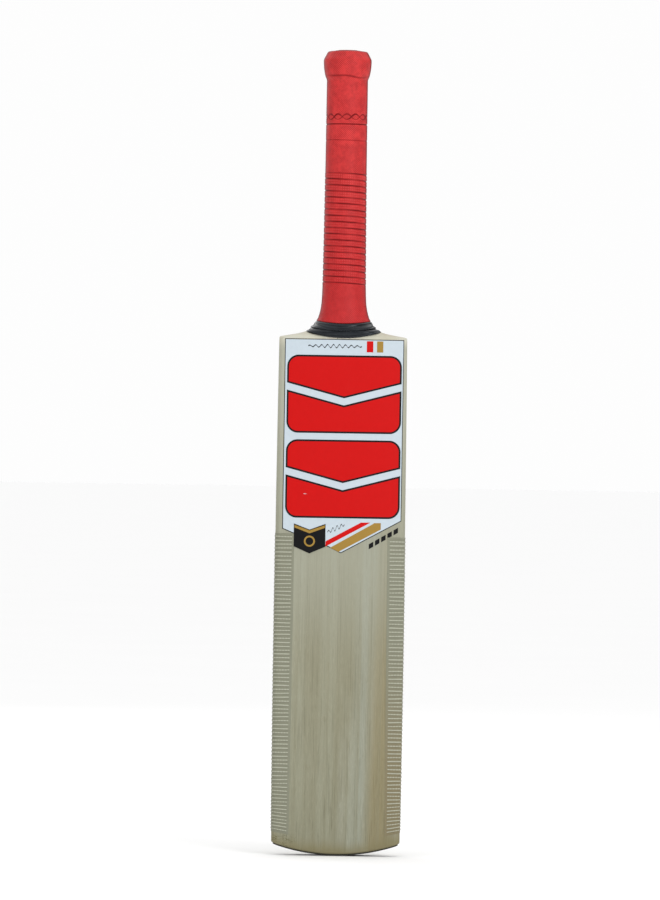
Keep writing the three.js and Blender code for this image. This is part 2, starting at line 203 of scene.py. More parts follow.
# ---------------------------------------------------------------- willow blade
# Sawn and planed from one cleft of willow: nearly flat face, rounded edges, a spine swelling at the
# back, square shoulders, a neck that wraps the handle, and a socket cut to a V for the splice.
BLADE_HALF = 0.054
SHOULDER_Z = 0.428
NECK_TOP_Z = 0.452
TOE_BOW = 0.0096  # how far the toe's corners stand above its middle
TOE_BOW_FADE = 0.070
FACE_BOW = 0.004
FACE_CROWN = 0.0016
FACE_FLAT_HALF = 0.012
FRONT_EDGE, BACK_EDGE, END_EDGE = 0.0045, 0.006, 0.0016
BLADE_FOOT_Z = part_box("toe_guard")[0][2] + 0.00125  # on the guard, with a thin line of glue
SPLICE_TIP_Z, SPLICE_TIP_HALF, SPLICE_TOP_HALF = 0.318, 0.0045, 0.0158
GLUE = 0.00012  # half of a glue line
EDGE_TAPER, WIDEST_Z, TAPER_REACH = 0.0008, 0.2, 0.229
NECK_FROM, NECK_REACH = 0.001, 0.012  # above the shoulders


def curve_through(*pairs, unit=1000):
    """A smooth curve through (height, value) pairs: cubic pieces whose slope at each pair is that of
    the line between its neighbours. Pairs are in millimetres and the curve in metres; unit is 1
    where the value is a plain number."""
    heights, values = np.array(pairs, float).T / np.array([[1000], [unit]])
    low = np.maximum(np.arange(len(heights)) - 1, 0)
    high = np.minimum(np.arange(len(heights)) + 1, len(heights) - 1)
    slopes = (values[high] - values[low]) / (heights[high] - heights[low])

    def value_at(z):
        z = np.asarray(z, float)
        i = np.clip(np.searchsorted(heights, z) - 1, 0, len(heights) - 2)
        span = heights[i + 1] - heights[i]
        t = np.clip((z - heights[i]) / span, 0, 1)
        rise = values[i + 1] - values[i]
        a = slopes[i] * span - rise
        b = rise - slopes[i + 1] * span
        return values[i] + t * rise + t * (1 - t) * (a * (1 - t) + b * t)

    return value_at


spine_depth = curve_through((0, 27), (60, 39), (150, 53), (250, 50), (350, 43), (430, 39))
edge_depth = curve_through((0, 16), (60, 21), (150, 26), (300, 22), (430, 15))
ridge_power = curve_through((0, 0.75), (150, 0.85), (300, 1.1), (430, 1.6), unit=1)
neck_half_x = curve_through((430, 53.1), (430.9, 52.2), (431.8, 47.5), (434, 36), (436.7, 28.4),
                            (439, 25.3), (441.7, 23.2), (444.5, 20.9), (447, 19.3), (452, 17.6))
neck_half_y = curve_through((430, 19.4), (437, 19.2), (444.5, 18.3), (452, 17))


def toe_lift(x, z):
    """The toe's curve: a parabola across the bat that dies out with height."""
    return TOE_BOW * (x / BLADE_HALF) ** 2 * np.clip(1 - z / TOE_BOW_FADE, 0, 1) ** 2


def face_at(x, z):
    """The face: a long shallow hollow from shoulders to toe, falling away outside a flat strip."""
    outer = np.clip(np.abs(x) - FACE_FLAT_HALF, 0, None) / (BLADE_HALF - FACE_FLAT_HALF)
    from_middle = 2 * z / SHOULDER_Z - 1
    return FACE_Y + FACE_BOW * (1 - from_middle ** 2) + FACE_CROWN * outer ** 2


def edge_fall(inside, radius):
    """How far a quarter-round edge has fallen back at a distance inside the outline."""
    over = np.clip(radius - inside, 0, None)
    return radius - np.sqrt(np.clip(radius ** 2 - over ** 2, 0, None))


def blade_half(z):
    """Half the blade's width: widest at one height and a little less above and below."""
    return BLADE_HALF - EDGE_TAPER * ((z - WIDEST_Z) / TAPER_REACH) ** 2


def blade_depth(across, z):
    """How thick the wood is at shares across of the half width: a ridge on the back."""
    ridge = (0.5 + 0.5 * np.cos(pi * across)) ** ridge_power(z)
    return edge_depth(z) + (spine_depth(z) - edge_depth(z)) * ridge


def neck_share(z):
    """0 below the shoulders and 1 where the blade has turned into the neck."""
    return np.clip((z - SHOULDER_Z - NECK_FROM) / NECK_REACH, 0, 1)


def blade_rows(z, across, rise=0.0, inset=0.0):
    """The blade's front and back at heights z and shares across of its half width, each as a grid
    of points, moved out by rise. Above the shoulders they turn into the oval of the neck."""
    z, inset = np.broadcast_arrays(np.asarray(z, float), inset)
    z, inset = z[:, None], inset[:, None]
    across = np.atleast_2d(np.asarray(across, float))
    low = np.minimum(z, SHOULDER_Z)
    half = blade_half(low) - inset
    to_neck = neck_share(z)
    narrow = np.where(z > SHOULDER_Z, np.minimum(neck_half_x(z), half), half)
    x = across * narrow
    inside = (1 - np.abs(across)) * half
    face = face_at(across * half, low)
    round_share = np.sqrt(1 - across ** 2)
    front = face + edge_fall(inside, FRONT_EDGE) + inset
    back = face + blade_depth(across, z) - edge_fall(inside, BACK_EDGE) - inset
    oval = neck_half_y(z) * round_share
    front = front + to_neck * (HANDLE_Y - oval - front)
    back = back + to_neck * (HANDLE_Y + oval - back)
    out = rise * np.where(to_neck > 0, round_share, 1)
    height = z + toe_lift(x, z)
    wide = x + across * rise
    return np.stack([wide, front - out, height], -1), np.stack([wide, back + out, height], -1)


def build(name, points, faces, material, smooth_angle=50, wear_and_shade=None):
    """An object of this mesh, with doubled points merged, faces turned out, and edges that turn by
    more than smooth_angle degrees left sharp. Faces come as arrays of corners. The last argument is a
    value for each point, kept as the attribute of its name, from which the material paints shade."""
    mesh = bpy.data.meshes.new(name)
    mesh.from_pydata(points.reshape(-1, 3), [], [face for part in faces for face in part.tolist()])
    if wear_and_shade is not None:
        mesh.attributes.new("wear_and_shade", "FLOAT", "POINT").data.foreach_set("value", wear_and_shade.ravel())
    work = bmesh.new()
    work.from_mesh(mesh)
    bmesh.ops.remove_doubles(work, verts=work.verts, dist=1e-6)
    bmesh.ops.dissolve_degenerate(work, edges=work.edges, dist=1e-7)
    bmesh.ops.recalc_face_normals(work, faces=work.faces)
    work.to_mesh(mesh)
    work.free()
    mesh.polygons.foreach_set("use_smooth", [True] * len(mesh.polygons))
    mesh.set_sharp_from_angle(angle=np.radians(smooth_angle))
    mesh.materials.append(material)
    made = bpy.data.objects.new(name, mesh)
    bpy.context.scene.collection.objects.link(made)
    return made


def grid_faces(rows, columns, wrap=False):
    """Quads between neighbours of a grid of points; wrap joins the last column to the first."""
    index = np.arange(rows * columns).reshape(rows, columns)
    if wrap:
        index = np.hstack([index, index[:, :1]])
    corners = index[:-1, :-1], index[:-1, 1:], index[1:, 1:], index[1:, :-1]
    return np.stack([c.ravel() for c in corners], -1)


def slab(name, front, back, material, smooth_angle=50, wear_and_shade=None):
    """A closed solid between two grids of points of one shape, front and back. The last argument is
    the value for painted shade at each point of the front; the back has none."""
    rows, columns = front.shape[:2]
    ring = np.concatenate([front, back[:, ::-1]], axis=1)
    sides = grid_faces(rows, 2 * columns, wrap=True)
    j = np.arange(columns - 1)
    last = 2 * columns - 1
    end = np.stack([j, last - j, last - j - 1, j + 1], -1)
    faces = [sides, end, end[:, ::-1] + (rows - 1) * 2 * columns]
    if wear_and_shade is not None:
        wear_and_shade = np.concatenate([wear_and_shade, np.zeros_like(wear_and_shade)], axis=1)
    return build(name, ring, faces, material, smooth_angle, wear_and_shade)


def finish_piece(piece, *nodes, slot=None):
    """The piece belongs to the bat's one rigid body and stands for these nodes."""
    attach(piece, "root")
    if nodes:
        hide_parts(*nodes)


def new_group(name, inputs, outputs):
    """An empty node group whose sockets have these names and kinds, with what it is given and the
    node that takes its results."""
    group = bpy.data.node_groups.new(name, "ShaderNodeTree")
    for direction, sockets in (("INPUT", inputs), ("OUTPUT", outputs)):
        for socket, kind in sockets.items():
            group.interface.new_socket(socket, in_out=direction, socket_type="NodeSocket" + kind)
    given = group.nodes.new("NodeGroupInput").outputs
    return group, given, group.nodes.new("NodeGroupOutput")


def wood_group():
    """Grain of straight-grown timber, as a node group. The growth rings are circles round a pith
    far out to one side: ring = distance from it / spacing, wavering along the bat, so that they show
    as straight lines on a face and run through to the back. Puts out the rings' dark lines, the
    fine fibres and slow patches."""
    group, given, result = new_group(
        "timber_grain",
        {"Place": "Vector", "Pith X": "Float", "Spacing": "Float", "Waver": "Float"},
        {"Rings": "Float", "Fibres": "Float", "Patches": "Float"},
    )
    split = axes_of(group, given["Place"])
    from_pith = maths(group, "SUBTRACT", split["X"], given["Pith X"])
    distance = maths(group, "SQRT", maths(group, "ADD", maths(group, "POWER", from_pith, 2.0),
                                          maths(group, "POWER", split["Y"], 2.0)))
    slow = noise(group, given["Place"], 9.0, 2.0, 0.5, (1, 1, 0.22))
    wavered = maths(group, "MULTIPLY_ADD", maths(group, "SUBTRACT", slow, 0.5), given["Waver"],
                    distance)
    turn = maths(group, "FRACT", maths(group, "DIVIDE", wavered, given["Spacing"]))
    rise = between(group, turn, 0.35, 0.93)
    fall = between(group, turn, 1.0, 0.94)
    fill(group, result, {
        "Rings": maths(group, "MULTIPLY", rise, fall),
        "Fibres": noise(group, given["Place"], 900.0, 3.0, 0.6, (1, 1, 0.012)),
        "Patches": noise(group, given["Place"], 34.0, 4.0, 0.55, (1, 1, 0.06)),
    })
    return group


timber_grain = wood_group()


def use_group(tree, group, inputs):
    """The outputs of a node group placed in a material, its sockets set by name."""
    return tuple(node(tree, "ShaderNodeGroup", inputs, node_tree=group).outputs)


def tint(tree, tone, share, most, colour, blend="MIX"):
    """The tone turned towards a colour by a share times the most it may reach."""
    return colour_mix(tree, maths(tree, "MULTIPLY", share, most), tone, colour, blend)


def streak(tree, x, middle, half):
    """A soft band along the bat about one x, 1 in its middle and 0 at half a width each side."""
    away = maths(tree, "ABSOLUTE", maths(tree, "SUBTRACT", x, middle))
    return between(tree, away, half, 0.0)


WILLOW_GREY = (0.312, 0.306, 0.220, 1)
WILLOW_DARK = (0.262, 0.248, 0.165, 1)
WILLOW_PALE = (0.385, 0.385, 0.310, 1)
WILLOW_CREAM = (0.595, 0.590, 0.495, 1)
WILLOW_BLUE = (0.330, 0.342, 0.278, 1)
WILLOW_BROWN = (0.285, 0.245, 0.140, 1)
WILLOW_TOE = (0.235, 0.200, 0.100, 1)

willow, tree, shader, place = new_material("oiled_willow")
willow_grain = {"Place": place, "Pith X": -0.42, "Spacing": 0.0088, "Waver": 0.006}
rings, fibres, patches = use_group(tree, timber_grain, willow_grain)
x_at, y_at, z_at = axes_of(tree, place)
tone = colour_mix(tree, between(tree, patches, 0.34, 0.66), WILLOW_GREY, WILLOW_DARK)
clouds = noise(tree, place, 26.0, 5.0, 0.6, (1, 1, 0.20))
tone = tint(tree, tone, between(tree, clouds, 0.48, 0.72), 0.55, WILLOW_PALE)

# Two bands of sapwood, bluish and then brown, widen towards the toe at the right of the face.
lean = maths(tree, "MULTIPLY_ADD", z_at, -0.022, x_at)
wander = maths(tree, "MULTIPLY_ADD", noise(tree, place, 5.0, 2.0, 0.5, (1, 1, 0.5)), 0.010, lean)
tone = tint(tree, tone, streak(tree, wander, 0.0235, 0.013), 0.60, WILLOW_BLUE)
low_down = between(tree, z_at, 0.25, 0.03)
tone = tint(tree, tone, streak(tree, wander, 0.0385, 0.010), 0.45, WILLOW_BROWN)
tone = tint(tree, tone, maths(tree, "MULTIPLY", streak(tree, wander, 0.040, 0.017), low_down), 0.90,
            WILLOW_BROWN)
tone = tint(tree, tone, streak(tree, wander, 0.002, 0.0035), 0.40, WILLOW_DARK)
tone = tint(tree, tone, streak(tree, wander, -0.021, 0.0045), 0.30, WILLOW_DARK)
tone = tint(tree, tone, rings, 0.50, WILLOW_DARK)
tone = tint(tree, tone, between(tree, fibres, 0.48, 0.74), 0.9, (0.74, 0.73, 0.69, 1), "MULTIPLY")
flecks = noise(tree, place, 1500.0, 3.0, 0.7, (1, 1, 0.10))
tone = tint(tree, tone, between(tree, flecks, 0.46, 0.72), 0.55, (1.25, 1.25, 1.28, 1), "MULTIPLY")
ray_flecks = noise(tree, place, 420.0, 2.0, 0.5, (1, 1, 0.22))
tone = tint(tree, tone, between(tree, ray_flecks, 0.58, 0.74), 0.35, (0.82, 0.79, 0.72, 1),
            "MULTIPLY")
tone = tint(tree, tone, between(tree, z_at, 0.14, 0.25), 0.50, (0.368, 0.378, 0.305, 1))
tone = tint(tree, tone, maths(tree, "MULTIPLY", between(tree, x_at, 0.022, 0.034), low_down), 0.30,
            (0.250, 0.205, 0.100, 1))
cream = maths(tree, "ADD", maths(tree, "MULTIPLY", between(tree, z_at, 0.26, 0.425), 0.30),
              maths(tree, "MULTIPLY", between(tree, z_at, 0.420, 0.431), 0.66))
tone = colour_mix(tree, cream, tone, WILLOW_CREAM)
cream_grain = maths(tree, "MULTIPLY", between(tree, clouds, 0.40, 0.62), between(tree, z_at, 0.42, 0.43))
tone = tint(tree, tone, cream_grain, 0.40, (0.46, 0.41, 0.28, 1))
toe_edge = maths(tree, "MULTIPLY_ADD", maths(tree, "POWER", maths(tree, "ABSOLUTE", x_at), 2.0),
                 -3.3, z_at)
toe_ragged = maths(tree, "MULTIPLY_ADD", noise(tree, place, 90.0, 3.0, 0.6, (1, 1, 0.3)), 0.012,
                   toe_edge)
tone = tint(tree, tone, between(tree, toe_ragged, 0.020, 0.006), 0.85, WILLOW_TOE)
shade = between(tree, z_at, 0.30, 0.0)
tone = tint(tree, tone, shade, 0.75, (0.86, 0.88, 0.86, 1), "MULTIPLY")
crack_noise = noise(tree, place, 240.0, 2.0, 0.5, (1, 1, 1.6))
cracks = between(tree, maths(tree, "ABSOLUTE", maths(tree, "SUBTRACT", crack_noise, 0.5)), 0.035, 0.0)
corner = maths(tree, "MULTIPLY", between(tree, x_at, -0.030, -0.040), between(tree, z_at, 0.0185, 0.014))
tone = tint(tree, tone, maths(tree, "MULTIPLY", cracks, corner), 0.75, (0.085, 0.080, 0.030, 1))
sheen = maths(tree, "MULTIPLY_ADD", fibres, 0.22, 0.44)
relief = maths(tree, "MULTIPLY_ADD", rings, -0.35, fibres)
surface(tree, shader, tone, maths(tree, "MULTIPLY_ADD", patches, 0.12, sheen),
        (relief, 0.30, 0.00016), specular=0.35)


def spread(start, stop, step):
    """Evenly spaced values from start to stop, at most step apart."""
    return np.linspace(start, stop, int(np.ceil((stop - start) / step)) + 1)


# Shares of the half width: even over the middle and closer where the edges turn.
FACE_ACROSS = np.sin(np.linspace(-pi / 2, pi / 2, 97))
end_turn = np.radians([0, 15, 30, 45, 60, 75])
end_z = BLADE_FOOT_Z + END_EDGE * (1 - np.cos(end_turn))
end_inset = END_EDGE * (1 - np.sin(end_turn))
body_z = np.concatenate([spread(BLADE_FOOT_Z + END_EDGE, 0.424, 0.0035),
                         spread(0.4252, 0.436, 0.0006), spread(0.437, NECK_TOP_Z, 0.0015)])
blade_z = np.concatenate([end_z, body_z])
blade_inset = np.concatenate([end_inset, np.zeros(len(body_z))])
blade_front, blade_back = blade_rows(blade_z, FACE_ACROSS, inset=blade_inset)
blade = slab("willow_blade", blade_front, blade_back, willow)


def splice_half(z):
    """Half the width of the V at a height, a straight taper from its top to its tip."""
    share = (z - SPLICE_TIP_Z) / (NECK_TOP_Z - SPLICE_TIP_Z)
    return SPLICE_TIP_HALF + share * (SPLICE_TOP_HALF - SPLICE_TIP_HALF)


def cut_with(piece, cutter):
    """Takes the cutter out of the piece for good."""
    cut = piece.modifiers.new("cut", "BOOLEAN")
    cut.operation = "DIFFERENCE"
    cut.solver = "MANIFOLD"
    cut.object = cutter
    bpy.context.view_layer.update()
    view = bpy.context.evaluated_depsgraph_get()
    mesh = bpy.data.meshes.new_from_object(piece.evaluated_get(view))
    piece.modifiers.clear()
    old, piece.data = piece.data, mesh
    bpy.data.meshes.remove(old)
    bpy.data.objects.remove(cutter)


socket_z = np.array([SPLICE_TIP_Z - GLUE, NECK_TOP_Z + 0.001])
socket_x = (splice_half(socket_z) + GLUE)[:, None] * np.array([[-1.0, 1.0]])
socket_y = np.full((2, 2), FACE_Y - 0.01)
socket_front = np.stack([socket_x, socket_y, np.repeat(socket_z, 2).reshape(2, 2)], -1)
socket_back = socket_front + np.array([0, 0.08, 0])
cut_with(blade, slab("splice_socket", socket_front, socket_back, willow))
blade.data.set_sharp_from_angle(angle=np.radians(50))
finish_piece(blade, "blade", slot="willow")

# ---------------------------------------------------------------- toe guard
# A strip of dark rubber glued under the toe and sanded flush, which keeps damp out of the end grain.
guard_rubber, tree, shader, place = new_material("toe_guard_rubber")
grime = noise(tree, place, 260.0, 5.0, 0.6)
surface(tree, shader, colour_mix(tree, grime, (0.012, 0.011, 0.006, 1), (0.036, 0.031, 0.018, 1)),
        maths(tree, "MULTIPLY_ADD", grime, 0.3, 0.55), (grime, 0.4, 0.0001))

guard_front, guard_back = blade_rows([BLADE_FOOT_Z], FACE_ACROSS, inset=END_EDGE * 0.85)
guard_profile = ((0.0, 0.0005), (0.0003, 0.0001), (0.0007, 0.0), (BLADE_FOOT_Z - 0.00006, 0.0))


def guard_layer(row, side):
    """The strip's outline at each height of its profile, drawn in by the rounding of its foot."""
    layers = []
    for height, drawn_in in guard_profile:
        layer = row[0].copy()
        layer[:, 0] *= 1 - drawn_in / BLADE_HALF
        layer[:, 1] += side * drawn_in
        layer[:, 2] += height - BLADE_FOOT_Z
        layers.append(layer)
    return np.array(layers)


toe_guard = slab("toe_guard_strip", guard_layer(guard_front, 1), guard_layer(guard_back, -1),
                 guard_rubber)
finish_piece(toe_guard, "toe_guard", slot="guard_rubber")

# ---------------------------------------------------------------- cane handle
# Nine strips of split cane glued up in three layers, turned round for the hands and cut to a V
# where they are glued into the blade. Two rubber springs lie between the layers.
CANE_TOP_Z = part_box("cane_back_middle")[1][2]
STRIP_HALF = 0.0049
SPRING_Y = 0.0047
SPRING_HALF = 0.0008
SPRING_FOOT_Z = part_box("spring_front")[0][2]
JOINT_FROM_Z, JOINT_TO_Z = 0.446, NECK_TOP_Z  # where the round handle leaves the splice
cane_half = curve_through((440, 16.2), (452, 15.6), (461, 14.6), (478, 13.6), (665, 13.6))

cane, tree, shader, place = new_material("split_cane")
cane_grain = {"Place": place, "Pith X": -0.03, "Spacing": 0.0021, "Waver": 0.002}
rings, fibres, patches = use_group(tree, timber_grain, cane_grain)
tone = colour_mix(tree, patches, (0.47, 0.33, 0.155, 1), (0.60, 0.46, 0.26, 1))
tone = tint(tree, tone, rings, 0.35, (0.30, 0.19, 0.08, 1))
pores = node(tree, "ShaderNodeTexVoronoi", {
    "Vector": node(tree, "ShaderNodeMapping", {"Vector": place, "Scale": (1, 1, 0.035)}).outputs[0],
    "Scale": 1150.0,
}).outputs["Distance"]
pore = between(tree, pores, 0.30, 0.12)
tone = tint(tree, tone, pore, 0.7, (0.19, 0.11, 0.045, 1))
x_at, y_at, z_at = axes_of(tree, place)
polished = maths(tree, "MULTIPLY", between(tree, z_at, 0.420, 0.428),
                 between(tree, y_at, float(FACE_Y) + 0.010, float(FACE_Y) + 0.004))
tone = tint(tree, tone, polished, 0.80, WILLOW_CREAM)
surface(tree, shader, tone, maths(tree, "MULTIPLY_ADD", fibres, 0.25, 0.45),
        (maths(tree, "SUBTRACT", fibres, pore), 0.35, 0.0001))

spring_rubber, tree, shader, place = new_material("spring_rubber")
speckle = noise(tree, place, 700.0, 4.0, 0.6)
surface(tree, shader, colour_mix(tree, speckle, (0.018, 0.014, 0.011, 1), (0.05, 0.038, 0.03, 1)),
        maths(tree, "MULTIPLY_ADD", speckle, 0.2, 0.7))

STRIP_Z = np.concatenate([spread(SPLICE_TIP_Z + GLUE, 0.325, 0.0012),
                          spread(0.3265, JOINT_FROM_Z, 0.0035),
                          spread(0.4465, JOINT_TO_Z, 0.0011), spread(0.456, CANE_TOP_Z, 0.011)])


def joint_share(z):
    """0 in the splice and 1 in the round handle."""
    return np.clip((z - JOINT_FROM_Z) / (JOINT_TO_Z - JOINT_FROM_Z), 0, 1)


def strip_surface(x, z, side):
    """The outside of the wood in front (-1) or behind (1): the blade's own surface in the splice and
    the round of the handle above it."""
    half_width = np.where(z > SHOULDER_Z, neck_half_x(z), BLADE_HALF)
    across = np.clip(x / half_width, -0.999, 0.999)
    low = np.minimum(z, SHOULDER_Z)
    face = face_at(x, low)
    flat = face if side < 0 else face + blade_depth(across, z)
    oval = HANDLE_Y + side * neck_half_y(z) * np.sqrt(1 - across ** 2)
    in_splice = flat + neck_share(z) * (oval - flat)
    radius = cane_half(z)
    in_handle = HANDLE_Y + side * np.sqrt(np.clip(radius ** 2 - x ** 2, 0, None))
    share = joint_share(z)
    share = share ** 2 * (3 - 2 * share)
    return in_splice + share * (in_handle - in_splice)


def handle_strip(name, x_limits, y_limits, material, foot_z, columns=13):
    """A strip of the handle between two x and two y limits, trimmed to the V in the splice and above
    it to the round: it reaches as far as the chord at its layer's near side."""
    z = np.unique(np.concatenate([[foot_z], STRIP_Z[STRIP_Z > foot_z]]))[:, None]
    in_splice = np.minimum(splice_half(z), cane_half(z))
    from_axis = np.array(y_limits) - HANDLE_Y
    nearest = 0 if from_axis[0] * from_axis[1] < 0 else np.abs(from_axis).min()
    in_handle = np.sqrt(cane_half(z) ** 2 - nearest ** 2)
    reach = in_splice + joint_share(z) * (in_handle - in_splice)
    left = np.clip(x_limits[0], -reach, reach)
    right = np.clip(x_limits[1], -reach, reach)
    x = left + (right - left) * np.linspace(0, 1, columns)[None, :]
    z = np.broadcast_to(z, x.shape)
    outer_front, outer_back = strip_surface(x, z, -1), strip_surface(x, z, 1)
    front = np.clip(y_limits[0], outer_front, outer_back)
    back = np.clip(y_limits[1], outer_front, outer_back)
    back = np.maximum(back, front + 1e-5)
    return slab(name, np.stack([x, front, z], -1), np.stack([x, back, z], -1), material)


OUTER = 0.1
layer_edge = SPRING_Y + SPRING_HALF + GLUE
layer_inner = SPRING_Y - SPRING_HALF - GLUE
LAYERS = {"front": (-OUTER, HANDLE_Y - layer_edge),
          "centre": (HANDLE_Y - layer_inner, HANDLE_Y + layer_inner),
          "back": (HANDLE_Y + layer_edge, OUTER)}
COLUMNS = {"left": (-OUTER, -STRIP_HALF - GLUE), "middle": (-STRIP_HALF + GLUE, STRIP_HALF - GLUE),
           "right": (STRIP_HALF + GLUE, OUTER)}
OUTER_FOOT_Z = SPLICE_TIP_Z + 0.0068  # where the V is just wide enough for the outer strips
for layer, y_limits in LAYERS.items():
    for column, x_limits in COLUMNS.items():
        foot = SPLICE_TIP_Z + GLUE if column == "middle" else OUTER_FOOT_Z
        strip = handle_strip(f"split_cane_{layer}_{column}", x_limits, y_limits, cane, foot)
        finish_piece(strip, f"cane_{layer}_{column}", slot="cane")
for name, side in (("front", -1), ("back", 1)):
    middle = HANDLE_Y + side * SPRING_Y
    spring = handle_strip(f"rubber_spring_{name}", (-OUTER, OUTER),
                          (middle - SPRING_HALF, middle + SPRING_HALF), spring_rubber,
                          SPRING_FOOT_Z, columns=25)
    finish_piece(spring, f"spring_{name}", slot="spring_rubber")

# ---------------------------------------------------------------- twine
# Waxed thread wound tight round the cane from the neck to the top, one turn against the next.
TWINE_FROM_Z, TWINE_TO_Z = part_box("twine_binding")[0][2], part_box("twine_binding")[1][2]
TWINE_PITCH = 0.0011
TWINE_WALL = 0.0008

twine, tree, shader, place = new_material("waxed_twine")
fuzz = noise(tree, place, 1500.0, 3.0, 0.6, (1, 1, 2.5))
surface(tree, shader, colour_mix(tree, fuzz, (0.42, 0.36, 0.25, 1), (0.66, 0.60, 0.47, 1)),
        maths(tree, "MULTIPLY_ADD", fuzz, 0.2, 0.6))


def around(count):
    """Angles round the handle, from the left and by the front."""
    return np.linspace(0, 2 * pi, count, endpoint=False)[None, :]


def oval_rings(z, half_x, half_y, angle, power=2.0):
    """Rings round the handle's axis: x = -half_x cos and y = -half_y sin, each to 2 / power."""
    c, s = np.cos(angle), np.sin(angle)
    x = -np.sign(c) * np.abs(c) ** (2 / power) * half_x
    y = HANDLE_Y - np.sign(s) * np.abs(s) ** (2 / power) * half_y
    return np.stack(np.broadcast_arrays(x, y, z), -1)


def sleeve(name, outside, inside, material, smooth_angle=50, wear_and_shade=None):
    """A closed tube between rings going up its outside and rings going up its inside. The last
    argument is the value for painted shade at each point of the outside; the inside has none."""
    rings_all = np.concatenate([outside, inside[::-1], outside[:1]])
    if wear_and_shade is not None:
        wear_and_shade = np.concatenate([wear_and_shade, np.zeros(inside.shape[:2]), wear_and_shade[:1]])
    faces = [grid_faces(*rings_all.shape[:2], wrap=True)]
    return build(name, rings_all, faces, material, smooth_angle, wear_and_shade)


angle = around(48)
z = spread(TWINE_FROM_Z, TWINE_TO_Z, TWINE_PITCH / 4)[:, None]
turns = z / TWINE_PITCH + angle / (2 * pi)
radius = cane_half(z) + GLUE + TWINE_WALL * (0.55 + 0.45 * np.abs(np.sin(pi * turns)))
inner_z = spread(TWINE_FROM_Z, TWINE_TO_Z, 0.01)[:, None]
inner = cane_half(inner_z) + GLUE
binding = sleeve("wound_twine", oval_rings(z, radius, radius, angle),
                 oval_rings(inner_z, inner, inner, angle), twine)
finish_piece(binding, "twine_binding", slot="twine")

# ---------------------------------------------------------------- rubber grip
# One moulded tube of red rubber rolled down over the twine: a faceted bead at the top, a plain
# band with a moulded twist, a long ribbed stretch with a spiral groove, and a flared foot.
FOOT_DIP = 0.0022  # how much lower the foot hangs in front and behind than at the sides
DIP_REACH = 0.012
GRIP_RADIUS = 0.0172  # along the ribbed stretch
NECK_FIT, TWINE_FIT = 0.0003, 0.0006  # gaps inside the grip
GRIP_FOOT_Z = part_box("rubber_grip")[0][2] + FOOT_DIP
GROOVE_FROM_Z, GROOVE_TO_Z, GROOVE_PITCH = 0.4738, 0.5683, 0.00507
GROOVE_DEPTH, GROOVE_SHARE, RIB_PROUD = 0.00048, 0.18, 0.00018
LINE_Z, FAINT_LINE_Z, CREASE_Z = 0.6080, 0.5946, 0.6478
TWIST_Z, TWIST_SWING, TWIST_COUNT = 0.6140, 0.62 * 0.0036, 7

grip_half_x = curve_through((444.2, 22.9), (446.7, 21.4), (451.7, 19.9), (456.6, 19), (461.6, 18.5),
                            (478, 17.95), (500, 17.7), (530, 17.45), (578, 17.2), (643, 17.1))
grip_half_y = curve_through((444.2, 20.9), (446.7, 20.3), (451.7, 19.4), (456.6, 18.7), (461.6, 18.3),
                            (478, 17.9), (500, 17.7), (530, 17.45), (578, 17.2), (643, 17.1))
BEAD = np.array([(643.6, 17.05), (645.2, 17.15), (646.2, 17.55), (647.6, 18.15), (649.4, 18.7),
                 (651.6, 19.15), (654.5, 19.6), (658.5, 19.9), (661.0, 19.95), (662.2, 19.75),
                 (663.6, 19.15), (665.8, 17.95), (667.6, 17.0), (668.4, 16.45), (668.75, 15.8),
                 (668.95, 14.8), (669.15, 12.6)]) / 1000
BEAD_ROWS = 3  # rows of points for each stretch of it
CAP_RADIUS = (cap_high[0] - cap_low[0]) / 2


def narrow_dip(value, half):
    """1 where value is 0, falling smoothly to 0 at half each side."""
    return np.clip(1 - (value / half) ** 2, 0, 1) ** 2


def from_whole(turns):
    """Distance from the nearest whole number, 0 to 0.5."""
    return np.abs((turns + 0.5) % 1 - 0.5)


def groove_at(angle, z, ease):
    """How many turns each point is from the spiral groove, which drops to the right across the
    front, and 1 in the stretch that has it, falling to 0 over ease at both ends."""
    away = from_whole((z - GROOVE_TO_Z) / GROOVE_PITCH + angle / (2 * pi))
    zone = np.clip((z - GROOVE_FROM_Z) / ease, 0, 1) * np.clip((GROOVE_TO_Z - z) / ease, 0, 1)
    return away, zone


def grip_hollows(angle, z):
    """How far each point lies down in a moulded mark, 0 to 1: the spiral groove, two lines round
    the tube, a crease under the bead, and two waves in step that make a twist."""
    from_groove, zone = groove_at(angle, z, 0.001)
    uneven = 0.82 + 0.18 * np.sin(3 * angle + 400 * z)
    marks = zone * uneven * narrow_dip(from_groove, GROOVE_SHARE)
    marks = np.maximum(marks, 0.9 * narrow_dip(z - LINE_Z, 0.0009))
    marks = np.maximum(marks, 0.55 * narrow_dip(z - FAINT_LINE_Z - 0.0003 * np.sin(2 * angle), 0.0008))
    crease = CREASE_Z + 0.0008 * np.sin(2 * angle) + 0.0004 * np.sin(5 * angle)
    marks = np.maximum(marks, 0.6 * np.abs(np.sin(angle)) ** 0.7 * narrow_dip(z - crease, 0.0017))
    for half_turn in (0, 1):
        wave = TWIST_SWING * np.sin(TWIST_COUNT * angle + pi * half_turn)
        steep = TWIST_SWING * TWIST_COUNT / GRIP_RADIUS * np.cos(TWIST_COUNT * angle)
        away = (z - TWIST_Z - wave) / np.hypot(1, steep)
        weight = 0.00085 + 0.0004 * np.sin(TWIST_COUNT * angle + 0.8 + 2 * half_turn)
        marks = np.maximum(marks, (0.9 - 0.2 * half_turn) * narrow_dip(away, weight))
    return marks


def grip_relief(angle, z):
    """What stands up from the smooth tube, in metres: rounded ribs less the moulded hollows, and a
    few slack wrinkles above the foot."""
    from_groove, zone = groove_at(angle, z, 0.0015)
    ribs = zone * RIB_PROUD * np.sin(pi * np.clip(from_groove * 2, 0, 1)) ** 0.5
    wrinkles = 0.00012 * np.sin(2300 * z + 3 * np.sin(2 * angle)) * narrow_dip(z - 0.4495, 0.005)
    return ribs + wrinkles - GROOVE_DEPTH * grip_hollows(angle, z)


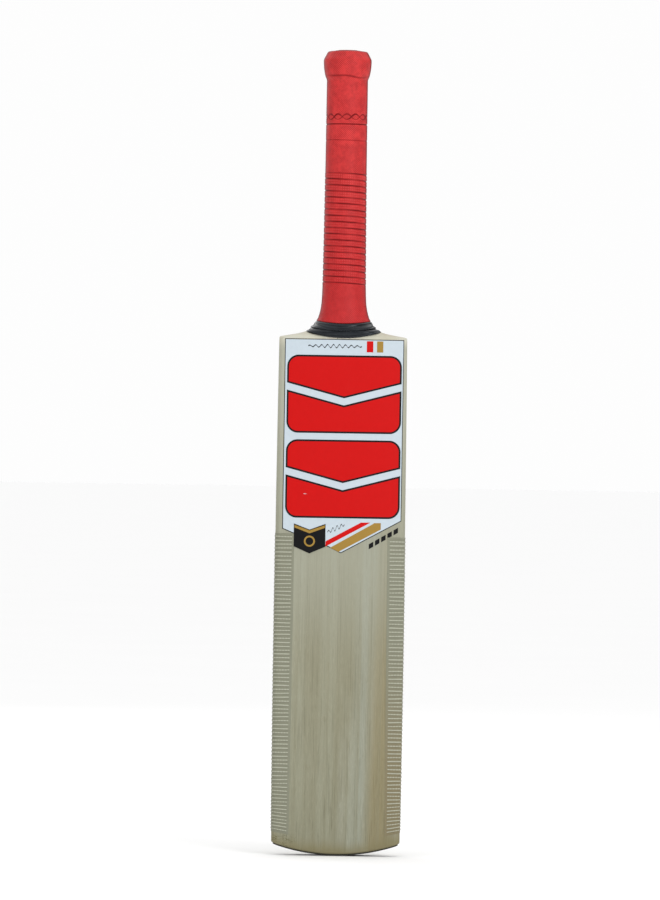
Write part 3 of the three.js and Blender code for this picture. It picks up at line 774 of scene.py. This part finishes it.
def painted_rim_shade(tree, low):
    """Painted shade: 1 where the surface turns away from the eye, to paint it darker as the light falls
    off there.
    """
    facing = node(tree, "ShaderNodeLayerWeight", {"Blend": 0.5}).outputs["Facing"]
    return between(tree, facing, low, 1.0)


def wear_and_shade_at(tree):
    """The mesh's own value at each point, from which shade is painted in hollows, folds and gaps."""
    return node(tree, "ShaderNodeAttribute", attribute_name="wear_and_shade").outputs["Fac"]


grip_rubber, tree, shader, place = new_material("pebbled_rubber")
x_at, y_at, z_at = axes_of(tree, place)
angle_at = maths(tree, "ARCTAN2", maths(tree, "SUBTRACT", float(HANDLE_Y), y_at),
                 maths(tree, "MULTIPLY", x_at, -1.0))
arc = maths(tree, "MULTIPLY", angle_at, GRIP_RADIUS)
PIP, HATCH = 0.0019, 0.0017  # spacing of the pips on the ribs and of the crossed lines elsewhere


def ripple(tree, value, spacing):
    """A wave between 0 and 1 along a length."""
    wave = maths(tree, "SINE", maths(tree, "MULTIPLY", value, 2 * pi / spacing))
    return maths(tree, "MULTIPLY_ADD", wave, 0.5, 0.5)


along_helix = maths(tree, "MULTIPLY_ADD", angle_at, GROOVE_PITCH / (2 * pi), z_at)
pips = maths(tree, "MULTIPLY", ripple(tree, arc, PIP), ripple(tree, along_helix, GROOVE_PITCH / 3))
rising = ripple(tree, maths(tree, "ADD", arc, z_at), HATCH)
falling = ripple(tree, maths(tree, "SUBTRACT", arc, z_at), HATCH)
hatch = maths(tree, "MULTIPLY", rising, falling)
ribbed = maths(tree, "MULTIPLY", between(tree, z_at, GROOVE_FROM_Z, GROOVE_FROM_Z + 0.002),
               between(tree, z_at, GROOVE_TO_Z, GROOVE_TO_Z - 0.002))
knobbed = node(tree, "ShaderNodeMix", {0: ribbed, 2: hatch, 3: pips}).outputs[0]
bloom = noise(tree, place, 150.0, 5.0, 0.7)
handled = noise(tree, place, 28.0, 3.0, 0.55)
hollow = wear_and_shade_at(tree)
tone = colour_mix(tree, between(tree, bloom, 0.36, 0.66), (0.43, 0.0110, 0.0120, 1),
                  (0.605, 0.025, 0.025, 1))
tone = tint(tree, tone, between(tree, handled, 0.50, 0.75), 0.6, (0.43, 0.014, 0.014, 1))
# Painted highlight: the tops of the pips on the ribs and of the crossed lines elsewhere are painted a
# lighter red.
tone = tint(tree, tone, between(tree, knobbed, 0.35, 0.9), 0.62, (0.80, 0.088, 0.088, 1))
tone = tint(tree, tone, between(tree, z_at, 0.600, 0.460), 0.55, (0.44, 0.009, 0.011, 1))
# Painted shade: the grooves, the lines round the tube and the crease under the bead are painted dark
# red.
tone = tint(tree, tone, between(tree, hollow, 0.12, 0.80), 0.90, (0.125, 0.0016, 0.0032, 1))
# Painted shade: the rubber is painted near black where it turns away from the eye.
rim_shade = painted_rim_shade(tree, 0.52)
tone = tint(tree, tone, rim_shade, 0.90, (0.075, 0.004, 0.008, 1))
dull = maths(tree, "MAXIMUM", rim_shade, maths(tree, "MULTIPLY", hollow, 0.8))
surface(tree, shader, tone, maths(tree, "MULTIPLY_ADD", bloom, 0.22, 0.34),
        (maths(tree, "MULTIPLY_ADD", bloom, 0.6, knobbed), 0.75, 0.00026),
        specular=maths(tree, "MULTIPLY_ADD", dull, -0.24, 0.27))

angle = around(192)
body_z = np.concatenate([spread(GRIP_FOOT_Z + 0.0008, GROOVE_FROM_Z - 0.001, 0.0012),
                         spread(GROOVE_FROM_Z, GROOVE_TO_Z, 0.00044),
                         spread(GROOVE_TO_Z + 0.001, 0.592, 0.004), spread(0.5932, 0.5962, 0.0004),
                         spread(0.5985, 0.6060, 0.0025), spread(0.6070, 0.6182, 0.00036),
                         spread(0.6200, 0.6425, 0.004)])[:, None]
bead_at = np.linspace(0, len(BEAD) - 1, BEAD_ROWS * (len(BEAD) - 1) + 1)
bead_z, bead_half = (np.interp(bead_at, np.arange(len(BEAD)), part)[:, None] for part in BEAD.T)
foot_z = np.array([[GRIP_FOOT_Z + 0.0001], [GRIP_FOOT_Z], [GRIP_FOOT_Z + 0.0003]])
foot_in = np.array([[0.0012], [0.0006], [0.0001]])
grip_z = np.concatenate([foot_z, body_z, bead_z])
relief = grip_relief(angle, grip_z)
half_x = np.concatenate([grip_half_x(foot_z) - foot_in, grip_half_x(body_z), bead_half]) + relief
half_y = np.concatenate([grip_half_y(foot_z) - foot_in, grip_half_y(body_z), bead_half]) + relief
grip_outside = oval_rings(grip_z, half_x, half_y, angle)


def dipped(rings):
    """The rings with their front and back pulled down at the foot, dying out above it."""
    side = np.clip(np.abs(rings[..., 0]) / rings[..., 0].max(axis=1, keepdims=True), 0, 1) ** 2
    fade = np.clip(1 - (rings[..., 2] - GRIP_FOOT_Z) / DIP_REACH, 0, 1)
    lowered = rings.copy()
    lowered[..., 2] -= FOOT_DIP * (1 - side) * fade
    return lowered


inner_z = np.array([444.2, 446, 448, 450, 452.3, 456, 461, 469, 478, 560, 665.3, 665.3])[:, None] / 1000
under = inner_z < NECK_TOP_Z + 0.0004
wall_x, wall_y = (
    np.where(under, neck_half(inner_z) + NECK_FIT, cane_half(inner_z) + TWINE_WALL + TWINE_FIT)
    for neck_half in (neck_half_x, neck_half_y)
)
wall_x[-1] = wall_y[-1] = CAP_RADIUS + 0.0001
grip_inside = oval_rings(inner_z, wall_x, wall_y, angle)
grip = sleeve("ribbed_rubber_grip", dipped(grip_outside), dipped(grip_inside), grip_rubber,
              smooth_angle=60, wear_and_shade=grip_hollows(angle, grip_z))
finish_piece(grip, "rubber_grip", slot="grip_rubber")

# ---------------------------------------------------------------- end cap
# A rubber plug pressed into the mouth of the grip, slightly domed, with a small flat on top and a
# shallow moulded ring.
CAP = np.array([(0.0, 0.05), (0.0, 11.4), (0.25, 11.9), (3.4, 12.0), (3.75, 11.9), (4.1, 11.2),
                (4.35, 10.0), (4.38, 9.6), (4.28, 9.3), (4.28, 8.9), (4.42, 8.5), (4.7, 7.8),
                (4.7, 4.0), (4.7, 0.05)]) / 1000
angle = around(96)
cap_z = cap_low[2] + CAP[:, :1]
cap_rings = oval_rings(cap_z, CAP[:, 1:], CAP[:, 1:], angle)
cap_points = np.concatenate([cap_rings.reshape(-1, 3), cap_rings[[0, -1]].mean(1)])
count = cap_rings.shape[1]
this, following = np.arange(count), (np.arange(count) + 1) % count
top_row = (len(CAP) - 1) * count
foot_fan = np.stack([following, this, np.full(count, len(cap_points) - 2)], -1)
top_fan = np.stack([this + top_row, following + top_row, np.full(count, len(cap_points) - 1)], -1)
cap_faces = [grid_faces(*cap_rings.shape[:2], wrap=True), foot_fan, top_fan]
end_cap = build("grip_end_plug", cap_points, cap_faces, grip_rubber, smooth_angle=40)
finish_piece(end_cap, "handle_end_cap", slot="cap_rubber")

# ---------------------------------------------------------------- black collar
# Glossy black tape wound over the foot of the grip and the neck: one turn above, and a wider one
# below that is pulled down over the top of the face and of the back. Its laps lie in slack folds.
collar_tape, tree, shader, place = new_material("glossy_black_tape")
pulled = noise(tree, place, 48.0, 4.0, 0.55, (1, 1, 3.6))
lint = noise(tree, place, 700.0, 2.0, 0.6)
fold = wear_and_shade_at(tree)
tone = colour_mix(tree, pulled, (0.0040, 0.0045, 0.0060, 1), (0.0120, 0.0145, 0.0185, 1))
tone = tint(tree, tone, between(tree, lint, 0.60, 0.78), 0.35, (0.07, 0.08, 0.09, 1))
# Painted shade: the folds of the tape are painted near black.
tone = colour_mix(tree, between(tree, fold, 0.1, 0.8), tone, (0.0015, 0.0020, 0.0025, 1))
surface(tree, shader, tone, maths(tree, "MULTIPLY_ADD", pulled, 0.20, 0.16),
        (maths(tree, "MULTIPLY_ADD", lint, 0.05, pulled), 0.55, 0.0007), specular=0.30)
shader.inputs["Specular Tint"].default_value = (0.84, 0.93, 1.0, 1)

angle = around(168)
COLLAR_ROWS = 25
CORE_SHARE = 0.3  # the solid core that the neck is cut out of
neck_z = spread(0.4255, 0.4475, 0.0006)


def folds(angle, share, phase):
    """Depth of the folds, 0 to 1, round a turn and up it (share 0 to 1): two slanting creases that
    open to wedges and close again."""
    depth = 0.0
    for k, middle in enumerate((0.36, 0.70)):
        line = middle + 0.16 * np.sin(angle * (2 - k) + phase + 2.1 * k)
        opening = 0.05 + 0.11 * np.clip(np.sin(2 * angle + phase * 1.7 + 1.4 * k), 0, 1)
        depth = np.maximum(depth, narrow_dip(share - line, opening) * (0.35 + 6 * opening))
    return np.clip(depth, 0, 1)


def collar_turn(name, stations, phase, node_name):
    """A wound turn through stations of front height, side height, half x, half y and squareness, in
    millimetres. Slow waves and folds run round it, and the neck is cut out of it."""
    stations = np.array(stations, float) / (1000, 1000, 1000, 1000, 1)
    spaced = np.linspace(0, len(stations) - 1, COLLAR_ROWS)
    front_z, side_z, half_x, half_y, power = (
        np.interp(spaced, np.arange(len(stations)), column)[:, None] for column in stations.T
    )
    share = spaced[:, None] / (len(stations) - 1)
    crease = folds(angle, share, phase)
    eased = np.sin(pi * share) ** 0.5
    wave = 0.00016 * np.sin(3 * angle + phase) + 0.00010 * np.sin(7 * angle + 4 * share + phase)
    out = eased * (wave - 0.0006 * crease)
    outside = oval_rings(front_z, half_x + out, half_y + out, angle, power)
    outside[..., 2] += (side_z - front_z) * np.clip(np.abs(outside[..., 0]) / half_x, 0, 1) ** 2
    core = outside[[0, -1]].copy()
    core[..., 0] *= CORE_SHARE
    core[..., 1] = HANDLE_Y + CORE_SHARE * (core[..., 1] - HANDLE_Y)
    made = sleeve(name, outside, core, collar_tape, smooth_angle=70, wear_and_shade=crease)
    neck = slab("neck", *blade_rows(neck_z, FACE_ACROSS, rise=0.00008), collar_tape)
    cut_with(made, neck)
    finish_piece(made, node_name, slot="black_tape")


collar_turn("upper_tape_turn",
            ((435.75, 438.6, 26.8, 22.3, 2.9), (435.95, 438.7, 27.3, 22.75, 2.85),
             (436.4, 439.1, 27.3, 22.9, 2.75), (437.2, 439.8, 26.7, 22.85, 2.6),
             (438.2, 440.7, 25.9, 22.7, 2.45), (439.4, 441.8, 24.9, 22.4, 2.3),
             (440.6, 442.9, 24.1, 22.0, 2.2), (441.4, 443.6, 23.4, 21.6, 2.12),
             (441.75, 443.9, 22.9, 21.2, 2.1), (441.9, 444.05, 22.2, 20.8, 2.1)),
            0.9, "upper_collar_turn")
collar_turn("lower_tape_turn",
            ((429.75, 434.9, 31.0, 20.5, 5.0), (429.85, 435.0, 31.4, 20.9, 5.0),
             (430.3, 435.25, 31.5, 21.35, 4.9), (431.1, 435.7, 31.2, 21.7, 4.6),
             (432.3, 436.4, 30.4, 22.0, 4.2), (433.6, 437.2, 29.4, 22.2, 3.8),
             (434.8, 437.8, 28.1, 22.25, 3.3), (435.55, 438.35, 27.0, 22.15, 3.0),
             (435.7, 438.55, 26.3, 21.8, 2.9)),
            3.7, "lower_collar_turn")

# ---------------------------------------------------------------- face label
# Printed vinyl, rolled down on the face: a white sheet with a thin black border that is painted
# shadow at its cut edge, two bars at its top right, two slanting stripes at its lower corner and
# two plain pen waves. The prints are thin raised layers of ink.
LABEL_RISE, INK = 0.00022, 0.00005
INK_BODY, PANEL_BODY = 0.0001, 0.00012  # thickness of the prints, most of it sunk in the sheet
LABEL_LEFT, LABEL_RIGHT, LABEL_TOP = -0.0483, 0.0506, 0.4290
LABEL_FOOT = ((-48.3, 270.9), (-39.4, 267.2), (-11.7, 257.2), (0.7, 251.1), (50.6, 278.4))
# Width of the thin black line of painted shadow round the label.
EDGE_SHADOW_WIDTH = 0.0006


def vinyl_group():
    """Printed vinyl, as a node group: faint mottle in the print, scuffs that show as a rougher,
    paler film, and the slight orange peel of a sheet rolled on wood."""
    group, given, result = new_group(
        "printed_vinyl", {"Place": "Vector", "Ink": "Color", "Worn": "Color"},
        {"Colour": "Color", "Roughness": "Float", "Normal": "Vector"},
    )
    mottle = noise(group, given["Place"], 300.0, 4.0, 0.6)
    scuffs = noise(group, given["Place"], 70.0, 5.0, 0.7, (1, 1, 0.25))
    darker = colour_mix(group, 1.0, given["Ink"], (0.90, 0.90, 0.90, 1), "MULTIPLY")
    tone = colour_mix(group, mottle, darker, given["Ink"])
    film = maths(group, "MULTIPLY", between(group, scuffs, 0.6, 0.85), 0.25)
    fine = noise(group, given["Place"], 900.0, 2.0, 0.5, (1, 1, 0.1))
    peel = maths(group, "MULTIPLY_ADD", fine, 0.5, mottle)
    bump = node(group, "ShaderNodeBump", {"Height": peel, "Strength": 0.18, "Distance": 0.0001})
    fill(group, result, {
        "Colour": colour_mix(group, film, tone, given["Worn"]),
        "Roughness": maths(group, "MULTIPLY_ADD", scuffs, 0.22, 0.28),
        "Normal": bump.outputs[0],
    })
    return group


vinyl_print = vinyl_group()


def printed_vinyl(name, ink, wear_and_shade):
    """A semi-gloss vinyl of one ink, scuffed in places to another colour."""
    made, tree, shader, place = new_material(name)
    inputs = {"Place": place, "Ink": (*ink, 1), "Worn": (*wear_and_shade, 1)}
    colour, roughness, normal = use_group(tree, vinyl_print, inputs)
    surface(tree, shader, colour, roughness, specular=0.16)
    tree.links.new(normal, shader.inputs["Normal"])
    return made


white_vinyl = printed_vinyl("white_vinyl", (0.565, 0.645, 0.705), (0.66, 0.68, 0.66))
black_ink = printed_vinyl("black_ink", (0.004, 0.004, 0.005), (0.025, 0.025, 0.025))
red_ink = printed_vinyl("red_ink", (0.60, 0.0018, 0.0016), (0.52, 0.018, 0.014))
gold_ink = printed_vinyl("gold_ink", (0.365, 0.222, 0.044), (0.42, 0.33, 0.16))


def polyline(points):
    """A straight-edged line through (x, z) points in millimetres, as z at x in metres."""
    xs, zs = np.array(points, float).T / 1000
    return lambda x: np.interp(x, xs, zs)


def level(z):
    """A level line at one height."""
    return lambda x: np.full(np.shape(x), z)


def patch(name, columns, low, high, rise, thickness, material, rows=14):
    """A thin sheet lying on the face between two lines, z = low(x) and z = high(x): its top follows
    the face at rise, and its underside lies thickness further in."""
    x = np.asarray(columns, float)[None, :]
    share = np.linspace(0, 1, rows)[:, None]
    bottom_z, top_z = low(x), np.maximum(high(x), low(x) + 1e-5)
    z = bottom_z + (top_z - bottom_z) * share
    x = np.broadcast_to(x, z.shape)
    fall = edge_fall(BLADE_HALF - 0.0004 - np.abs(x), FRONT_EDGE)
    wood = face_at(x, np.minimum(z, SHOULDER_Z)) + fall
    top = np.stack([x, wood - rise, z], -1)
    under = np.stack([x, wood - rise + thickness, z], -1)
    return slab(name, top, under, material, smooth_angle=30)


def columns_between(left, right, corner=0.0, extra=()):
    """Places across a patch: even in the middle, closer over round corners, and at extra points."""
    even = np.linspace(left + corner, right - corner, 40)
    if corner:
        turn = np.radians(np.linspace(0, 90, 13))
        even = np.concatenate([left + corner * (1 - np.cos(turn)), even,
                               right - corner * (1 - np.cos(turn))])
    return np.unique(np.round(np.concatenate([even, extra]), 7))


def joined(name, *parts):
    """Several pieces as one object that keeps their materials."""
    materials = []
    work = bmesh.new()
    for part in parts:
        start = len(work.faces)
        work.from_mesh(part.data)
        work.faces.ensure_lookup_table()
        material = part.data.materials[0]
        if material not in materials:
            materials.append(material)
        for face in work.faces[start:]:
            face.material_index = materials.index(material)
        bpy.data.objects.remove(part)
    mesh = bpy.data.meshes.new(name)
    work.to_mesh(mesh)
    work.free()
    for material in materials:
        mesh.materials.append(material)
    made = bpy.data.objects.new(name, mesh)
    bpy.context.scene.collection.objects.link(made)
    return made


label_foot = polyline(LABEL_FOOT)
foot_x = np.array(LABEL_FOOT)[:, 0] / 1000
# Painted shadow: a thin black sheet round the white one stands for the shade at the vinyl's cut edge.
label_edge_shadow = patch("label_edge_shadow", columns_between(LABEL_LEFT, LABEL_RIGHT, extra=foot_x[1:-1]),
                     label_foot, level(LABEL_TOP), LABEL_RISE - INK, 0.00015, black_ink, rows=60)
inner_foot = polyline([(x, z + 0.75) for x, z in LABEL_FOOT])
label_white = patch("label_white",
                    columns_between(LABEL_LEFT + EDGE_SHADOW_WIDTH, LABEL_RIGHT - EDGE_SHADOW_WIDTH, extra=foot_x[1:-1]),
                    inner_foot, level(LABEL_TOP - EDGE_SHADOW_WIDTH), LABEL_RISE, 0.0002, white_vinyl, rows=60)


def bar(name, left, right, low, high, material):
    """An upright printed bar, limits in millimetres."""
    return patch(name, np.linspace(left, right, 5) / 1000, level(low / 1000), level(high / 1000),
                 LABEL_RISE + INK, INK_BODY, material, rows=6)


def stripe(name, lower, upper, material, rise=LABEL_RISE + INK):
    """A slanting stripe between two lines of (x, z) points over one span, in millimetres."""
    ends = [p[0] for p in lower + upper]
    xs = np.unique(np.concatenate([np.linspace(min(ends), max(ends), 24), ends])) / 1000
    return patch(name, xs, polyline(lower), polyline(upper), rise, INK_BODY, material, rows=4)


red_bar = bar("red_bar", 19.6, 25.0, 418.4, 427.6, red_ink)
gold_bar = bar("gold_bar", 28.1, 33.3, 418.4, 427.6, gold_ink)


def flourish(name, start, end, waves, swing):
    """A thin inked wave from one (x, z) to another, in millimetres: it swells in its middle and its
    line thins and thickens as a pen's does."""
    (left, left_z), (right, right_z) = np.array([start, end]) / 1000

    def line(x, side):
        """The upper (1) or lower (-1) side of the line at x."""
        share = (x - left) / (right - left)
        middle = left_z + (right_z - left_z) * share
        swell = swing / 1000 * (0.35 + 0.65 * np.sin(pi * share))
        weight = 0.00028 + 0.00024 * np.abs(np.cos(pi * waves * share))
        return middle + swell * np.sin(2 * pi * waves * share) + side * weight

    columns = np.linspace(left, right, 16 * waves + 1)
    return patch(name, columns, lambda x: line(x, -1), lambda x: line(x, 1), LABEL_RISE + INK,
                 INK_BODY, black_ink, rows=3)


long_flourish = flourish("long_flourish", (-29.0, 423.1), (15.5, 423.1), 9, 1.4)
short_flourish = flourish("short_flourish", (-10.6, 268.6), (3.4, 275.0), 4, 1.9)
red_stripe = stripe("red_stripe", [(-12.1, 256.6), (24.9, 276.9)],
                    [(-12.1, 260.9), (17.2, 276.9), (24.9, 276.95)], red_ink)
gold_stripe = stripe("gold_stripe", [(-8.2, 255.6), (-1.2, 252.3), (33.6, 271.3)],
                     [(-8.2, 255.7), (27.4, 276.0), (28.0, 276.6), (33.6, 276.7)], gold_ink)
label = joined("face_label_vinyl", label_edge_shadow, label_white, red_bar, gold_bar, long_flourish,
               short_flourish, red_stripe, gold_stripe)
finish_piece(label, "face_label", slot="white_vinyl")

# ---------------------------------------------------------------- red panels
# Two big red panels with a black keyline, each split by a pale chevron that lets the label show.
PANEL_LEFT, PANEL_RIGHT, PANEL_CORNER = -0.0462, 0.0490, 0.0095
KEYLINE = 0.0015
CHEVRON_DROP, CHEVRON_HALF = 0.0125, 0.0030  # how far its point hangs below its ends; half its width
PANEL_RISE = LABEL_RISE + 0.00010


def rounded_end(x, left, right, corner):
    """How far a rounded rectangle's top has come down at x from its level line."""
    return edge_fall(np.minimum(x - left, right - x), corner)


def panel(name, low_z, high_z, node_name, *marks):
    """A panel as two halves, above and below the chevron, each a black sheet under a red one, with
    any marks on it."""
    middle_x = (PANEL_LEFT + PANEL_RIGHT) / 2
    half_wide = (PANEL_RIGHT - PANEL_LEFT) / 2
    middle_z = (low_z + high_z) / 2 + CHEVRON_DROP / 2
    parts = []
    for layer, shrink, rise, ink in (("key", 0.0, PANEL_RISE, black_ink),
                                     ("red", KEYLINE, PANEL_RISE + INK, red_ink)):
        left, right = PANEL_LEFT + shrink, PANEL_RIGHT - shrink
        corner = PANEL_CORNER - shrink
        columns = columns_between(left, right, corner, extra=[middle_x])

        def chevron(x, side):
            """The chevron's edge above (1) or below (-1) its middle line."""
            slope = CHEVRON_DROP / half_wide
            line = middle_z - CHEVRON_DROP * (1 - np.abs(x - middle_x) / half_wide)
            return line + side * (CHEVRON_HALF + shrink * np.hypot(1, slope))

        def top(x):
            return high_z - shrink - rounded_end(x, left, right, corner)

        def foot(x):
            return low_z + shrink + rounded_end(x, left, right, corner)

        parts.append(patch(f"{name}_{layer}_upper", columns, lambda x: chevron(x, 1), top, rise,
                           PANEL_BODY, ink))
        parts.append(patch(f"{name}_{layer}_lower", columns, foot, lambda x: chevron(x, -1), rise,
                           PANEL_BODY, ink))
    made = joined(name, *parts, *marks)
    finish_piece(made, node_name, slot="red_vinyl")


nick = stripe("nick", [(-31.4, 300.2), (-30.1, 299.9), (-28.3, 300.0)],
              [(-31.4, 300.3), (-30.1, 300.4), (-28.3, 300.1)], white_vinyl, PANEL_RISE + 2 * INK)
panel("upper_chevron_panel", 0.3508, 0.4156, "upper_red_panel")
panel("lower_chevron_panel", 0.2802, 0.3453, "lower_red_panel", nick)

# ---------------------------------------------------------------- shield badge
# A black vinyl shield stuck over the label's lower left corner, with a gold chevron along its
# notched top and a plain gold ring.
BADGE_LEFT, BADGE_MIDDLE, BADGE_RIGHT = -38.6, -25.5, -12.3
BADGE_RISE = LABEL_RISE + 0.00016


def badge_line(side_z, middle_z, inset=0.0):
    """A V or an arrow across the badge, from one side height to a middle height."""
    return polyline([(BADGE_LEFT + inset, side_z), (BADGE_MIDDLE, middle_z),
                     (BADGE_RIGHT - inset, side_z)])


badge_x = np.linspace(BADGE_LEFT, BADGE_RIGHT, 25) / 1000
badge_x = np.unique(np.append(badge_x, BADGE_MIDDLE / 1000))
badge_black = patch("badge_black", badge_x, badge_line(256.4, 250.6), badge_line(275.3, 270.4),
                    BADGE_RISE, BADGE_RISE - 0.00004, black_ink)
inset_x = np.clip(badge_x, (BADGE_LEFT + 0.5) / 1000, (BADGE_RIGHT - 0.5) / 1000)
badge_gold = patch("badge_gold", np.unique(inset_x), badge_line(272.2, 267.3), badge_line(274.4, 269.7),
                   BADGE_RISE + INK, INK_BODY, gold_ink, rows=4)


def ring_patch(name, centre_x, centre_z, outer, inner, rise, material):
    """A flat ring on the face, as a grid round and across it."""
    turn = np.linspace(0, 2 * pi, 49)[None, :]
    radius = np.linspace(inner, outer, 4)[:, None]
    x = centre_x + radius * np.cos(turn)
    z = centre_z + radius * np.sin(turn)
    wood = face_at(x, z)
    top = np.stack([x, wood - rise, z], -1)
    under = top + np.array([0, INK_BODY, 0])
    loop = np.concatenate([top, under[::-1], top[:1]])
    return build(name, loop, [grid_faces(*loop.shape[:2])], material, 30)


badge_ring = ring_patch("badge_ring", BADGE_MIDDLE / 1000, 0.2608, 0.0046, 0.0032, BADGE_RISE + INK,
                        gold_ink)
badge = joined("shield_badge_vinyl", badge_black, badge_gold, badge_ring)
finish_piece(badge, "shield_badge", slot="black_vinyl")

# ---------------------------------------------------------------- slanted blocks
# Five small black blocks printed on the bare wood, in step along the label's slanting edge.
BLOCK_START, BLOCK_STEP, BLOCK_SLOPE = (23.9, 254.8), 5.1, 0.585
BLOCK_WIDE, BLOCK_TALL, BLOCK_RISE = 3.7, 4.2, 0.00009
blocks = []
for k in range(5):
    left = BLOCK_START[0] + k * BLOCK_STEP
    right = left + BLOCK_WIDE
    low_left = BLOCK_START[1] + k * BLOCK_STEP * BLOCK_SLOPE
    low_right = low_left + (right - left) * BLOCK_SLOPE
    blocks.append(stripe(f"block_{k}", [(left, low_left), (right, low_right)],
                         [(left, low_left + BLOCK_TALL), (right, low_right + BLOCK_TALL)], black_ink,
                         rise=BLOCK_RISE))
marks = joined("slanted_blocks", *blocks)
finish_piece(marks, slot="black_vinyl")

# ---------------------------------------------------------------- edge tapes
# Clear-coated cloth tape folded round each edge of the blade, with rows of raised threads across
# it that swell into beads, and a stitched selvedge where it ends on the face and on the back.
TAPE_PITCH = 0.00326
TAPE_BEAD = 0.0024
TAPE_BASE, TAPE_RIB, TAPE_GLUE = 0.00024, 0.00038, 0.00003
TAPE_STEP = 0.00068  # between points round the edge
SELVEDGE = 0.0016
# Name, side, where its inner edge runs at the foot and at the top, and how far it is cut short.
TAPES = (("left", -1, 0.0391, 0.0381, 0.0), ("right", 1, 0.0408, 0.0393, 0.0022))
tape_low, tape_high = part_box("left_edge_tape")[0][2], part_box("left_edge_tape")[1][2]

tape_cloth, tree, shader, place = new_material("ribbed_edge_tape")
thread_here = wear_and_shade_at(tree)
weave = noise(tree, place, 900.0, 3.0, 0.6, (1, 1, 3.0))
ageing = noise(tree, place, 22.0, 4.0, 0.6, (1, 1, 0.4))
x_at, y_at, z_at = axes_of(tree, place)
ground = colour_mix(tree, ageing, (0.208, 0.213, 0.150, 1), (0.270, 0.272, 0.203, 1))
ground = tint(tree, ground, between(tree, x_at, 0.030, 0.044), between(tree, z_at, 0.20, 0.05),
              (0.225, 0.185, 0.098, 1))
thread = colour_mix(tree, ageing, (0.385, 0.392, 0.300, 1), (0.455, 0.462, 0.375, 1))
tone = colour_mix(tree, between(tree, thread_here, 0.30, 0.85), ground, thread)
# Painted shade: the gaps between the rows of threads are painted darker.
tone = tint(tree, tone, between(tree, thread_here, 0.02, -0.25), 0.75, (0.150, 0.150, 0.098, 1))
tone = tint(tree, tone, between(tree, weave, 0.45, 0.75), 0.30, (0.20, 0.20, 0.145, 1))
# Painted shade: the tape is painted darker where it turns away from the eye.
tone = tint(tree, tone, painted_rim_shade(tree, 0.60), 0.75, (0.075, 0.075, 0.048, 1))
surface(tree, shader, tone, maths(tree, "MULTIPLY_ADD", weave, 0.25, 0.42), (weave, 0.3, 0.00012),
        specular=0.35)


def unit_long(ways):
    """The same ways with a length of 1."""
    return ways / (np.linalg.norm(ways, axis=-1, keepdims=True) + 1e-12)


def edge_path(z, side, inner):
    """The blade's section round one edge at heights z, from the face at inner to the back at inner:
    points along it and the way out of the wood at each."""
    start = (inner / blade_half(z))[:, None]
    across = start + (1 - start) * np.sin(np.linspace(0, pi / 2, 60))[None, :]
    front, back = blade_rows(z, side * across)
    step = np.linspace(0, 1, 14)[1:-1][None, :, None]
    edge = front[:, -1:] + (back[:, -1:] - front[:, -1:]) * step
    path = np.concatenate([front, edge, back[:, ::-1]], axis=1)
    along = np.gradient(path[..., :2], axis=1)
    out = np.stack([along[..., 1], -along[..., 0], np.zeros(along.shape[:2])], -1) * side
    return path, unit_long(out)


def even_path(path, out, step):
    """The same path with points a fixed step apart, measured along its middle row, and how far
    along it each lies."""
    middle = path[len(path) // 2]
    length = np.append(0, np.cumsum(np.linalg.norm(np.diff(middle, axis=0), axis=1)))
    wanted = np.linspace(0, length[-1], int(length[-1] / step) + 1)
    index = np.clip(np.searchsorted(length, wanted) - 1, 0, len(length) - 2)
    t = ((wanted - length[index]) / (length[index + 1] - length[index]))[None, :, None]
    mixed = path[:, index] * (1 - t) + path[:, index + 1] * t
    turned = out[:, index] * (1 - t) + out[:, index + 1] * t
    return mixed, unit_long(turned), wanted


def threads(z, along, side):
    """Height of the cloth, from -0.3 between rows to 1 on a thread: rows across the tape that
    waver a little, beads along them, and small stitches in the selvedges."""
    z = z[:, None]
    drift = 0.00022 * np.sin(310 * z + 2 * side) * np.sin(150 * along + 40 * z)
    row = (z + drift - tape_low) / TAPE_PITCH
    away = from_whole(row)
    thread = np.clip(1 - (away / 0.24) ** 2, 0, 1)
    gap = narrow_dip(away - 0.30, 0.11)
    weak = 0.5 + 0.5 * np.sin(2.4 * np.floor(row + 0.5) + side)
    bead = 1 - (0.10 + 0.30 * weak) * (0.5 + 0.5 * np.cos(2 * pi * along / TAPE_BEAD + 3 * weak))
    inside = np.minimum(along, along[-1] - along)
    cloth = np.clip((inside - SELVEDGE) / 0.0005, 0, 1)
    stitch = narrow_dip(inside - 0.55 * SELVEDGE, 0.0006) * (0.5 + 0.5 * np.sin(4 * pi * row)) * 0.6
    ends = np.clip(np.minimum(z - z.min(), z.max() - z) / 0.0010, 0, 1)
    return ends * (cloth * (thread * bead - 0.3 * gap) + stitch)


for name, side, foot_inner, top_inner, cut_short in TAPES:
    z = spread(tape_low, tape_high - cut_short, TAPE_PITCH / 8)
    inner = np.interp(z, [tape_low, tape_high], [foot_inner, top_inner])
    path, out, along = even_path(*edge_path(z, side, inner), TAPE_STEP)
    height = threads(z, along, side)
    outer = path + out * (TAPE_BASE + TAPE_RIB * height)[..., None]
    tape = slab(f"{name}_ribbed_tape", outer, path + out * TAPE_GLUE, tape_cloth, smooth_angle=75,
                wear_and_shade=height)
    finish_piece(tape, f"{name}_edge_tape", slot="ribbed_tape")
